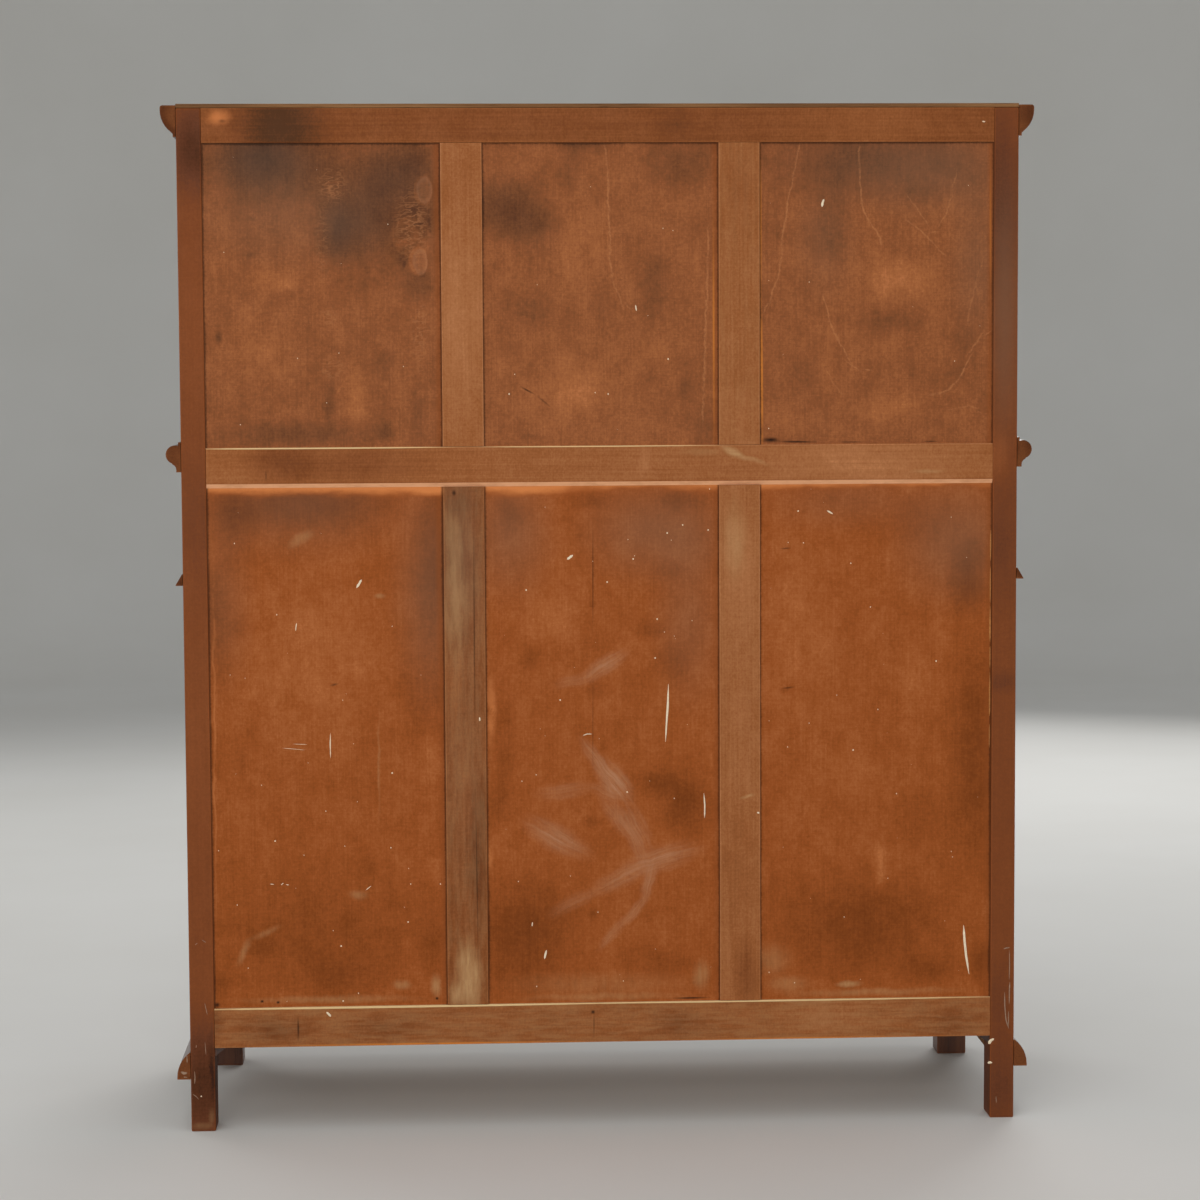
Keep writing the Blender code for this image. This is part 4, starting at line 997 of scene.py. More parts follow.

# %% [markdown]
# The frame of the back has pale arrises, dusty and with a painted highlight, hairlines at its joints, and
# dust at the foot of one muntin.
#
# Members of one kind could share a tone, but boards never take stain alike, and it shows where they meet. So
# each is listed with its own tone, the dust that lies all over it, and its marks. Posts carry no such dust.

# %% Marks of the frame
FRAME_TONES = (
    (0.0, srgb(85, 52, 29)),
    (0.3, srgb(127, 71, 35)),
    (0.5, srgb(152, 91, 49)),
    (0.7, srgb(176, 115, 72)),
    (1.0, srgb(230, 155, 100)),
)
POST_TONES = (
    (0.0, srgb(58, 32, 21)),
    (0.1, srgb(82, 45, 25)),
    (0.3, srgb(105, 59, 36)),
    (0.5, srgb(125, 68, 35)),
    (0.7, srgb(142, 79, 41)),
    (1.0, srgb(167, 108, 71)),
)
FRAME_MARKS = {
    "back_top_rail": (0.34, 0.0, Marks(
        stains=(
            Oval(280, 124, 66, 64, -0.37), Oval(675, 124, 32, 32, -0.10), Oval(870, 122, 135, 42, 0.09),
        ),
        bare=(Oval(217, 117, 18, 11, 1.0),),
        dark=(Oval(222, 121, 5, 2.6, 0.5),),
    )),
    "back_waist_rail": (0.53, 0.0, Marks(
        stains=(
            Oval(280, 463, 50, 34, -0.20), Oval(350, 463, 125, 36, -0.18), Oval(860, 463, 145, 42, 0.15),
            Oval(645, 462, 12, 25, 0.06),
        ),
        # Dust and a painted highlight along the top arris of the rail
        arris=(Stroke(170, 449.3, 480, 446.8, 1.2, 4.0), Stroke(452, 447.0, 750, 444.7, 1.2, 4.0)),
        dust=(
            Stroke(722, 446, 745, 459, 6, 0.65), Stroke(735, 455, 770, 466, 4, 0.4),
            Stroke(905, 474, 950, 471, 3, 0.5), Oval(700, 452, 30, 6, 0.25),
        ),
        dark=(Stroke(266, 470, 266, 482, 1.2, 0.5),),
    )),
    "back_bottom_rail": (0.44, 0.16, Marks(
        # Dust and a painted highlight along the top arris of the rail
        arris=(Stroke(150, 1010.7, 660, 1002.2, 1.6, 4.0), Stroke(540, 1004.2, 1050, 995.5, 1.6, 4.0)),
        # An orange line along the rail's lower edge, worn and partly a painted highlight
        worn=(Stroke(232, 1046.8, 640, 1040.8, 2.0, 1.1), Stroke(640, 1040.8, 982, 1035.6, 2.0, 0.9)),
        dust=(Stroke(760, 1000, 900, 998, 6, 0.3),),
        stains=(
            Oval(275, 1030, 66, 21, -0.20), Oval(380, 1028, 76, 20, -0.14),
            Oval(680, 1022, 42, 23, -0.15), Oval(830, 1018, 110, 27, 0.13),
            Oval(955, 1025, 50, 25, -0.11), Oval(216, 1022, 12, 30, -0.20),
        ),
        dark=(
            Stroke(298.2, 1015, 298.4, 1043, 1.7, 0.8), Oval(593, 1012, 3, 3, 0.9),
            Stroke(594, 1010, 594, 1040, 1.1, 0.5),
        ),
    )),
    "upper_muntin_right": (0.56, 0.0, Marks(
        stains=(Oval(460, 320, 32, 115, 0.09), Oval(460, 180, 32, 62, -0.06)),
    )),
    "upper_muntin_left": (0.52, 0.06, Marks(
        stains=(Oval(740, 185, 32, 62, -0.09), Oval(738, 420, 32, 52, 0.06)),
    )),
    "lower_muntin_right": (0.36, 0.12, Marks(
        bloom=(Oval(460, 560, 40, 130, 0.40), Oval(462, 760, 40, 200, 0.15)),
        stains=(
            Oval(478, 850, 16, 135, -0.17), Oval(460, 503, 30, 23, -0.11), Oval(452, 690, 17, 84, 0.09),
            Oval(458, 550, 32, 64, -0.05), Oval(462, 775, 24, 92, 0.06),
        ),
        dust=(
            Oval(455, 600, 16, 90, 0.30), Stroke(468, 945, 470, 1006, 17, 0.95),
            Stroke(456, 985, 456, 1004, 10, 0.60), Oval(452, 540, 12, 50, 0.20),
        ),
        dark=(
            Stroke(473.5, 500, 475, 760, 1.2, 0.6), Stroke(475, 760, 479, 1000, 1.2, 0.5),
            Oval(454, 493, 3, 4, 0.8),
        ),
    )),
    "lower_muntin_left": (0.55, 0.02, Marks(
        stains=(
            Oval(738, 570, 32, 94, 0.07), Oval(746, 975, 23, 52, -0.21), Oval(738, 880, 42, 94, -0.07),
        ),
        dust=(Oval(735, 540, 16, 60, 0.35), Stroke(739, 798, 757, 795, 2, 0.5)),
    )),
}
POST_MARKS = {
    "back_post_right": (0.53, Marks(
        stains=(
            Oval(195, 150, 42, 68, -0.40), Oval(200, 520, 42, 94, -0.11), Oval(195, 320, 42, 115, 0.07),
            Oval(198, 740, 42, 165, 0.06), Oval(202, 1085, 46, 100, -0.42),
            Stroke(211.5, 1005, 213, 1122, 5, -0.20),
        ),
        dust=(Oval(203, 1126.5, 16, 5, 0.22), Stroke(210.5, 1108, 211, 1126, 4, 0.18)),
    )),
    "back_post_left": (0.50, Marks(
        stains=(
            Oval(1000, 200, 36, 140, -0.24), Oval(1002, 540, 32, 105, -0.13),
            Oval(1002, 682, 32, 19, -0.15), Oval(998, 455, 16, 38, 0.17), Oval(998, 1000, 22, 62, -0.12),
            Oval(998, 1085, 42, 74, -0.20),
        ),
        bloom=(Stroke(1006, 150, 1003, 470, 22, 0.45),),
    )),
}
members = [*FRAME_MARKS.values(), *POST_MARKS.values()]
print("frame:", mark_count(values[-1] for values in members), "marks on", len(members), "members")

# %% [markdown]
# The rails and muntins are solid wood, so their grain runs along them, and the posts are darker oak.
#
# They share the recipe of the sheets, with tones of their own. The waist rail's lower bevel shows as a pale
# strip: a mask on the height paints it as bare wood, pale enough to be a painted highlight, though the bevel
# faces down into shade. One muntin is grey with dust. The outer faces of the posts belong to the polished
# sides.

# %% Frame of the back
FRAME_FIBRES = (6.0, 300.0, 300.0)
# Bare wood, pale enough to paint a highlight on the downward-facing bevel of the waist rail
RAW_BEVEL_HIGHLIGHT = srgb(232, 170, 126)
BEVEL_HEIGHT, BEVEL_SOFT, BEVEL_PATCHES = 0.006, 0.0006, (22.0, 60.0, 60.0)
POST_ARRIS = 0.0016
BEVEL_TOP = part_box("back_waist_rail")[0].z + BEVEL_HEIGHT


def bevel_raw_and_lit(finish, colour):
    """Bare wood, as pale as a painted highlight, over a colour, on the lower bevel of the waist rail."""
    place = finish.place()
    raw = finish.fade(finish.noise(place, BEVEL_PATCHES, 4.0, 0.65), 0.3, 0.6, 0.7, 1.0)
    raw = raw * finish.fade(finish.parts(place)[2], BEVEL_TOP - BEVEL_SOFT, BEVEL_TOP, 1.0, 0.0)
    return finish.mix(raw, colour, RAW_BEVEL_HIGHLIGHT)


for node, (tone, dusty, marks) in FRAME_MARKS.items():
    name = f"stained_{node}"
    finish, colour, _ = stained_board(name, FRAME_TONES, tone, marks, FRAME_FIBRES, FRAME_TEXTURE, dusty)
    finish.feed(base_color=bevel_raw_and_lit(finish, colour) if node == "back_waist_rail" else colour)
    eased(node, finish, "X" if node.endswith("rail") else "Z", inside=looks_in)
for node, (tone, marks) in POST_MARKS.items():
    finish, colour, _ = stained_board(f"stained_{node}", POST_TONES, tone, marks, FRAME_FIBRES, POST_TEXTURE)
    finish.feed(base_color=colour)
    eased(node, finish, "Z", width=POST_ARRIS, inside=looks_out, other=side_oak)
print("back frame:", len(FRAME_MARKS) + len(POST_MARKS), "members")

# %% [markdown]
# White paint was spilt on the back, the posts are scuffed, and glue seeps from a seam.
#
# A run is a width and a few points that it follows, and a dot is one point, all in pixels of the photograph.
# Where paint falls is chance, so there is no rule to write: they are listed by the board that they lie on.

# %% Places of the paint
Run = namedtuple("Run", "wide points")
PLY_RUNS = (
    Run(2.7, ((824, 199), (822.5, 203), (822, 207))), Run(1.7, ((635.5, 305), (636.5, 311))),
    Run(2.7, ((361.5, 579.5), (359, 584), (356.5, 588))),
    Run(1.2, ((296.6, 623), (296, 627), (295.6, 631))),
    Run(1.3, ((330.4, 733), (330.2, 745), (330.6, 758))), Run(0.5, ((282, 748), (294, 749), (305, 750))),
    Run(0.5, ((293, 744), (307, 744.5))), Run(3.0, ((573, 555), (567, 559.5))),
    Run(2.7, ((546.5, 950), (545.5, 954), (544.5, 959))), Run(1.3, ((532.5, 922), (532, 926.5))),
    Run(2.4, ((668.4, 684), (667.8, 705), (666.6, 722), (665.5, 742))),
    Run(1.7, ((703.8, 793), (704.8, 805), (704.6, 818))),
    Run(1.1, ((583, 735.5), (587, 734), (592, 734))), Run(2.0, ((827, 510.5), (833, 514))),
    Run(3.0, ((963.5, 925), (964.5, 940), (966, 955), (969, 974))), Run(0.9, ((270, 884), (274, 884.5))),
    Run(1.1, ((281, 885), (283.5, 883))), Run(0.9, ((286, 884.5), (289, 885))),
    Run(0.9, ((366, 890), (371, 886))),
)
FRAME_RUNS = (
    Run(2.8, ((326.4, 1012), (328.6, 1014), (331, 1016.6))), Run(1.8, ((479.6, 717), (479.8, 721))),
    Run(2.2, ((757, 812.5), (759.5, 813))), Run(1.6, ((982, 121.3), (985.4, 121.7))),
    Run(3.4, ((988.4, 1044), (991, 1040.5), (994, 1038.5))),
    Run(2.6, ((987.6, 1063), (990, 1062.4), (992.4, 1062.6))), Run(1.6, ((200.6, 1096), (202, 1096.6))),
)
POST_SCUFFS = (
    Run(1.4, ((1003.5, 949), (1006, 948), (1010, 947.5))),
    Run(1.2, ((1009.4, 950), (1009.6, 965), (1009.2, 980))),
    Run(1.8, ((1009.8, 982), (1009.4, 992), (1009.2, 1004))),
    Run(1.6, ((1004.6, 992), (1004.8, 1006), (1006, 1020), (1009, 1029))),
    Run(1.0, ((1008.6, 1011), (1008.4, 1018), (1008.6, 1026))), Run(1.0, ((996, 1096), (996.4, 1103))),
    Run(1.2, ((194.4, 1071), (195, 1077), (194.6, 1084))),
    Run(0.9, ((192.5, 1094), (195.5, 1096), (199, 1099.5))),
    Run(0.8, ((204.6, 1003), (206, 1009), (207.4, 1015))), Run(0.8, ((205, 1042), (206, 1055))),
    Run(0.8, ((196.4, 1045), (196, 1048))), Run(0.9, ((195, 945), (197.5, 943))),
    Run(0.9, ((202, 940), (206, 942.5))),
)
SKIRT_SCUFFS = (
    Run(3.4, ((180.8, 1072), (184, 1073.4), (187.2, 1073))), Run(1.4, ((186.8, 1055), (187.2, 1063))),
    Run(1.2, ((183.4, 1077), (187.4, 1077.4))),
)
PLY_DOTS = (
    (668, 359), (608, 394), (509, 394), (392, 773), (275, 841), (341, 946), (408, 922), (343, 1001),
    (526, 590), (607, 582), (657, 619), (655, 658), (667, 533), (682.5, 525), (708, 530), (633, 559),
    (798, 511), (936, 661), (560, 700), (627, 792), (853, 750),
)
GLUE_RUNS = (
    Run(2.0, ((990.8, 530), (990.6, 546), (990.5, 561))),
    Run(1.6, ((990.4, 566), (990.3, 590), (990.2, 603))),
    Run(2.2, ((990.2, 606), (990.0, 628), (990.0, 642))), Run(1.6, ((990.0, 646), (989.9, 668))),
    Run(2.0, ((989.8, 672), (989.6, 700), (989.5, 716))), Run(1.4, ((989.4, 724), (989.2, 748))),
)
print("paint:", len(PLY_RUNS) + len(FRAME_RUNS), "runs,", len(PLY_DOTS), "dots")

# %% [markdown]
# Paint has thickness, so it is modelled rather than coloured.
#
# Each run becomes a short four-sided tube along its points, sunk a little in the wood. Its width wanders,
# and closes at both ends. Scuffs and glue are runs as well, in other finishes.

# %% Paint runs
PAINT_RISE, PAINT_ROOT = 0.00035, 0.0003
RUN_STATIONS = 7
SMUDGES, PAINT_SHINE = (300.0, 300.0, 300.0), 0.3
RUN_TIP, RUN_TAPER = 0.15, 3  # width at the tips, and how late a run narrows to them
RUN_WANDER = (0.8, 1.15)
RUN_CROWN = 0.6  # width of the top, as a share of the run's
DOT_WIDTH, DOT_REACH, DOT_LEAN = 1.9, 0.8, 0.3


def paint_run(bm, run, depth):
    """One closed run of paint along its points, thickest in the middle."""
    spots = [on_back(x, y, depth) for x, y in run.points]
    sideways = (spots[-1] - spots[0]).normalized().cross(Vector((0.0, 1.0, 0.0)))
    root = Vector((0.0, -PAINT_ROOT, 0.0))
    rings = []
    for n in range(RUN_STATIONS):
        share = n / (RUN_STATIONS - 1)
        k = min(int(share * (len(spots) - 1)), len(spots) - 2)
        spot = spots[k].lerp(spots[k + 1], share * (len(spots) - 1) - k)
        swell = RUN_TIP + (1 - RUN_TIP) * math.sqrt(1 - abs(2 * share - 1) ** RUN_TAPER)
        half = sideways * (run.wide * PIXEL / 2 * swell * dice.uniform(*RUN_WANDER))
        rise, crown = Vector((0.0, PAINT_RISE * swell, 0.0)), half * RUN_CROWN
        corners = (root - half, root + half, rise + crown, rise - crown)
        rings.append([bm.verts.new(spot + corner) for corner in corners])
    strip(bm, rings)
    bm.faces.new(rings[0])
    bm.faces.new(rings[-1])


def paint_mesh(name, finish, groups):
    """One piece of many runs. groups pairs runs with the depth of the face they lie on."""
    bm = bmesh.new()
    for runs, depth in groups:
        for run in runs:
            paint_run(bm, run, depth)
    bmesh.ops.recalc_face_normals(bm, faces=bm.faces[:])
    mesh = mesh_of(bm, name)
    mesh.materials.append(finish.material)
    show(mesh, BODY_OF["back_waist_rail"], sharp=SHARP)
    print(name, len(mesh.polygons), "faces")


def smudged(name, dull_colour, clear_colour, roughness):
    finish = Finish(name, shine=PAINT_SHINE, roughness=roughness)
    cloud = finish.noise(finish.place(), SMUDGES, 3.0, 0.6)
    finish.feed(base_color=finish.mix(cloud, dull_colour, clear_colour))
    return finish


paint = smudged("white_paint", srgb(212, 184, 146), srgb(255, 242, 214), roughness=0.6)
scuff = smudged("scuffed_edge", srgb(104, 72, 54), srgb(184, 154, 128), roughness=0.8)
glue = smudged("amber_glue", srgb(120, 66, 26), srgb(206, 138, 66), roughness=0.4)
on_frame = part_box("back_waist_rail")[1].y
on_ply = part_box("upper_back_panel_middle")[1].y
on_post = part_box("back_post_left")[1].y
on_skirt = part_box("base_moulding")[1].y
dots = [Run(DOT_WIDTH, ((x, y - DOT_REACH), (x + DOT_LEAN, y + DOT_REACH))) for x, y in PLY_DOTS]
paint_mesh("paint_runs", paint, ((PLY_RUNS, on_ply), (FRAME_RUNS, on_frame), (dots, on_ply)))
paint_mesh("glue_line", glue, ((GLUE_RUNS, on_ply),))
paint_mesh("scuffs", scuff, ((POST_SCUFFS, on_post), (SKIRT_SCUFFS, on_skirt)))

# %% [markdown]
# What repeats or follows a rule is left to Geometry Nodes.
#
# A rule is a node tree with named inputs for its sizes, and it ends in realized geometry with one finish. It
# is run once on a mesh or a curve, and what it made is kept as a plain mesh, which can then be moved and
# marked like any other.

# %% Rules
class Rule(Bench):
    """A Geometry Nodes tree with named inputs, which ends in realized geometry with one material."""

    def __init__(self, name):
        super().__init__(bpy.data.node_groups.new(name, "GeometryNodeTree"))
        for way in ("OUTPUT", "INPUT"):
            self.tree.interface.new_socket("Geometry", in_out=way, socket_type="NodeSocketGeometry")
        self.start = self.tree.nodes.new("NodeGroupInput")
        self.names = {}

    def asks(self, name, kind):
        """A named input of the rule: Float, Int or Material."""
        socket = self.tree.interface.new_socket(name, in_out="INPUT", socket_type=f"NodeSocket{kind}")
        self.names[name] = socket.identifier
        return Wire(self, self.start.outputs[name])

    def given(self):
        return Wire(self, self.start.outputs["Geometry"])

    def ends(self, geometry):
        whole = self.node("GeometryNodeRealizeInstances", None, {"Geometry": geometry})
        sockets = {"Geometry": whole, "Material": self.asks("Finish", "Material")}
        stop = self.tree.nodes.new("NodeGroupOutput")
        self.plug(stop.inputs["Geometry"], self.node("GeometryNodeSetMaterial", None, sockets))


def made_by(rule, start, name, finish, **inputs):
    """Run a rule on a curve or mesh, and keep the result as a plain mesh."""
    holder = bpy.data.objects.new(name, start)
    bpy.context.scene.collection.objects.link(holder)
    modifier = holder.modifiers.new(name, "NODES")
    modifier.node_group = rule.tree
    for key, value in {**inputs, "Finish": finish.material}.items():
        modifier[rule.names[key]] = value
    graph = bpy.context.evaluated_depsgraph_get()
    mesh = bpy.data.meshes.new_from_object(holder.evaluated_get(graph), depsgraph=graph)
    mesh.name = name
    bpy.data.objects.remove(holder)
    return mesh


# %% [markdown]
# A fine spatter of the same paint lies over the sheets.
#
# It has no pattern worth copying, so a rule scatters it: Geometry Nodes strew points over plain rectangles
# where the sheets show, with a fixed seed, and put a flattened drop of a random size on each.

# %% Paint spatter
SPATTER = {"spatter_low": ("lower", 130.0), "spatter_high": ("upper", 60.0)}  # drops per square metre
DROP_LEAST, DROP_MOST = 0.00018, 0.00075
DROP_FLAT, DROP_TALL = 0.4, 1.3  # shares of a drop's width
DROP_ROUNDS, DROP_FACES = 2, 80
RANDOM_LEAST, RANDOM_MOST, RANDOM_RESULT = 2, 3, 1  # a Random Value node's sockets for numbers


def spatter_rule():
    rule = Rule("paint spatter")
    density, seed = rule.asks("Density", "Float"), rule.asks("Seed", "Int")
    least, most = rule.asks("Smallest", "Float"), rule.asks("Largest", "Float")
    sockets = {"Mesh": rule.given(), "Density": density, "Seed": seed}
    spots = rule.node("GeometryNodeDistributePointsOnFaces", None, sockets)
    drop = rule.node("GeometryNodeMeshIcoSphere", None, {"Radius": 1.0, "Subdivisions": DROP_ROUNDS})
    sockets = {RANDOM_LEAST: least, RANDOM_MOST: most, "Seed": seed}
    size = rule.node("FunctionNodeRandomValue", {"data_type": "FLOAT"}, sockets, RANDOM_RESULT)
    flat = rule.xyz(size, DROP_FLAT * size, DROP_TALL * size)
    sockets = {"Points": spots, "Instance": drop, "Scale": flat}
    rule.ends(rule.node("GeometryNodeInstanceOnPoints", None, sockets))
    return rule


def sheet_faces(row):
    """The visible faces of a row of sheets, as plain rectangles to scatter on."""
    corners, faces = [], []
    for bay in BAYS:
        low, high = opening(bay, row)
        faces.append(tuple(range(len(corners), len(corners) + 4)))
        outline = ((low.x, low.z), (low.x, high.z), (high.x, high.z), (high.x, low.z))
        corners += [(x, high.y, z) for x, z in outline]
    mesh = bpy.data.meshes.new("sheet_faces")
    mesh.from_pydata(corners, [], faces)
    return mesh


spatter = spatter_rule()
for name, (row, density) in SPATTER.items():
    how = {"Density": density, "Seed": SEED, "Smallest": DROP_LEAST, "Largest": DROP_MOST}
    mesh = made_by(spatter, sheet_faces(row), name, paint, **how)
    show(mesh, BODY_OF["back_waist_rail"], sharp=SHARP)
    print(name, len(mesh.polygons) // DROP_FACES, "drops")

# %% [markdown]
# The carcase and the front frame are flat members, eased like the back, each with its own run of grain.
#
# The sides are framed panels in one thickness: stiles stand full height, rails lie between them, and the
# grain turns where they meet, so their faces are cut there. A function tells the finish of each face from its
# middle and its normal: faces that look into the cupboard were never polished.

# %% Carcase and front frame
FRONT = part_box("front_leg_left")[0].y
SIDE_STILE, SIDE_RAIL = 0.050, 0.060
DIVIDER_POLISH = 0.03  # depth of the drawer divider that shows at the front
TOP_ARRIS = 0.0006


def framed_grain(cross_axis, low, high, stile, rail, rail_axis):
    """Grain of a framed panel: rails lie between the stiles, and everything else stands."""
    k = AXES.index(cross_axis)

    def grain_of(middle):
        between = low[k] + stile < middle[k] < high[k] - stile
        in_rail = middle.z < low.z + rail or middle.z > high.z - rail
        return rail_axis if between and in_rail else "Z"

    return grain_of


def facing_in(middle, normal):
    return middle.x * normal.x < -FACING * abs(middle.x)


def facing_back(middle, normal):
    return normal.y > FACING


def behind_front(middle, normal):
    return middle.y > FRONT + DIVIDER_POLISH


for side in SIDES:
    eased(f"front_leg_{side}", front_oak, "Z", width=POST_ARRIS)
    for stage in ("lower", "upper"):
        node = f"{stage}_side_{side}"
        low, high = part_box(node)
        stile_lines = [("Y", low.y + SIDE_STILE), ("Y", high.y - SIDE_STILE)]
        rail_lines = [("Z", low.z + SIDE_RAIL), ("Z", high.z - SIDE_RAIL)]
        grain_of = framed_grain("Y", low, high, SIDE_STILE, SIDE_RAIL, "Y")
        eased(node, side_oak, grain_of, joints=stile_lines + rail_lines, inside=facing_in)
    eased(f"upper_stile_{side}", front_oak, "Z", inside=facing_back)

for node in ("frieze", "ledge_board", "upper_front_rail", "drawer_rail", "bottom_front_rail", "soffit_board"):
    eased(node, front_oak, "X", inside=facing_back)
eased("drawer_divider", front_oak, "Z", inside=behind_front)
eased("top_board", dull_oak, "X", width=TOP_ARRIS)
for node in ("bottom_board", "dust_board", "shelf"):
    eased(node, inside_oak, "X", width=0.0)
for side in SIDES:
    eased(f"shelf_cleat_{side}", inside_oak, "Y", width=0.0)
    # The corner blocks take the dark oak as painted shade: they sit in the shadow under the cupboard
    eased(f"corner_block_{side}", dark_oak, "Y", width=0.0)
print("carcase and front frame: dressed")

# %% [markdown]
# The mouldings run along one side, across the front and back along the other side.
#
# Their sections are already cut, so only the finish and the grain are set: the grain runs along each length
# and turns at the mitres. The sawn ends that show beside the posts took the stain of the back, dull and matt.

# %% Mouldings
MITRE_SLACK = 0.002
BODY_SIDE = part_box("front_leg_right")[1].x - MITRE_SLACK
MOULDINGS = ("cornice", "waist", "weather", "base")


def along_length(middle):
    return "Y" if abs(middle.x) > BODY_SIDE else "X"


for name in MOULDINGS:
    node = f"{name}_moulding"
    eased(node, dark_oak, along_length, width=0.0, inside=facing_back, other=sawn_oak)
print("mouldings:", len(MOULDINGS))

# %% [markdown]
# Doors are frames round a fielded panel, and drawers are boxes behind a polished front.
#
# The grain of a door stands in its stiles and panel and lies in its rails. A drawer's grain runs across its
# front, back and bottom, and along its sides. Both come from where a face lies, so no board has to be
# modelled by itself, and only the front of a drawer gets the polish.

# %% Doors and drawers
DOOR_STILE, PANEL_TONGUE = 0.062, 0.007
PANEL_CREASE = math.radians(3.0)
DRAWER_FRONT, DRAWER_SIDE = 0.021, 0.012
FRONT_SKIN = 0.002
DOORS = [(stage, side) for stage in ("upper", "lower") for side in SIDES]


def drawer_rules(low, high):
    """The grain of a drawer's faces, and which of them are unpolished."""

    def grain_of(middle):
        between = low.y + DRAWER_FRONT <= middle.y <= high.y - DRAWER_SIDE
        on_side = min(middle.x - low.x, high.x - middle.x) < DRAWER_SIDE
        return "Y" if between and on_side else "X"

    def unpolished(middle, normal):
        return middle.y > low.y + FRONT_SKIN and normal.y > -FACING

    return grain_of, unpolished


for stage, side in DOORS:
    frame_node, panel_node = f"{stage}_door_frame_{side}", f"{stage}_door_panel_{side}"
    low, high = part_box(frame_node)
    # The foot of the frame, above its pivot pin
    low.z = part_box(panel_node)[0].z - DOOR_STILE + PANEL_TONGUE
    grain_of = framed_grain("X", low, high, DOOR_STILE, DOOR_STILE, "X")
    joints = [("X", low.x + DOOR_STILE), ("X", high.x - DOOR_STILE)]
    eased(frame_node, front_oak, grain_of, joints=joints)
    eased(panel_node, front_oak, "Z", width=0.0, sharp=PANEL_CREASE)
for side in SIDES:
    node = f"drawer_{side}"
    grain_of, unpolished = drawer_rules(*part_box(node))
    eased(node, front_oak, grain_of, inside=unpolished)
print("doors:", len(DOORS), "drawers:", len(SIDES))

# %% [markdown]
# Turned work follows a rule, so Geometry Nodes turn it.
#
# A lathe sweeps one outline round an axis. In nodes, a tiny circle is the path and the outline is the profile
# swept along it. The bulb is then lobed, as carvers did with a gouge: the angle round the axis goes through a
# cosine, and the surface sinks between the lobes, fading out towards the necks.

# %% Lathe rule
AXLE = 0.00001  # radius of the path, small enough to be a point
LOBES_FULL = 0.7  # share of the half height over which the lobes are at full depth


def lathe_rule():
    rule = Rule("turned on the lathe")
    sides = rule.asks("Sides", "Int")
    lobes, depth, low, high = (
        rule.asks(name, "Float") for name in ("Lobes", "Lobe Depth", "Lobes From", "Lobes To")
    )
    path = rule.node("GeometryNodeCurvePrimitiveCircle", None, {"Resolution": sides, "Radius": AXLE})
    turned = rule.node("GeometryNodeCurveToMesh", None, {"Curve": path, "Profile Curve": rule.given()})
    turned = rule.node("GeometryNodeMergeByDistance", None, {"Geometry": turned, "Distance": 3 * AXLE})
    x, y, z = rule.parts(rule.node("GeometryNodeInputPosition"))
    crest = rule.maths("COSINE", rule.maths("ARCTAN2", y, x) * lobes / 2).size()
    middle, half = (low + high) / 2, (high - low) / 2
    away = ((z - middle) / half).size()
    sunk = depth * (1 - crest) * rule.fade(away, LOBES_FULL, 1.0, 1.0, 0.0)
    radius = rule.vector("LENGTH", rule.xyz(x, y), (0.0, 0.0, 0.0), "Value")
    share = 0 - sunk / radius.most(AXLE)
    push = rule.xyz(x * share, y * share)
    rule.ends(rule.node("GeometryNodeSetPosition", None, {"Geometry": turned, "Offset": push}))
    return rule


def outline_curve(points):
    """A poly curve through (radius, height) points, laid as the sweep wants it."""
    curve = bpy.data.curves.new("outline", "CURVE")
    curve.dimensions = "3D"
    spline = curve.splines.new("POLY")
    spline.points.add(len(points) - 1)
    for point, (radius, height) in zip(spline.points, points):
        point.co = (radius, -height, 0.0, 1.0)
    return curve


def arc(centre, radius, start, stop, steps):
    angles = [math.radians(start + (stop - start) * n / steps) for n in range(steps + 1)]
    return [(centre[0] + radius * math.cos(a), centre[1] + radius * math.sin(a)) for a in angles]


lathe = lathe_rule()
print("lathe:", len(lathe.tree.nodes), "nodes")

# %% [markdown]
# Each column is a covered cup: a bulb with a girdle, between necks, rings and round feet.
#
# Its upper half mirrors its lower one, so half an outline is enough: arcs for the foot and the ring, a
# quarter of an ellipse for the cup. The lathe turns it and cuts the lobes.

# %% Columns
FOOT_RADIUS, FOOT_HEIGHT = 0.034, 0.020
FOOT_EASE, FOOT_ROUND, FILLET = 0.003, 0.005, 0.001
RING_RADIUS, RING_HEIGHT = 0.024, 0.012
NECK_RADIUS, NECK_HEIGHT = 0.015, 0.026
BULB_RADIUS = 0.042
GIRDLE_HEIGHT, GIRDLE_DEPTH = 0.012, 0.005
CUP_STEPS = 22
LOBES, LOBE_DEPTH, COLUMN_SIDES = 18.0, 0.0035, 216


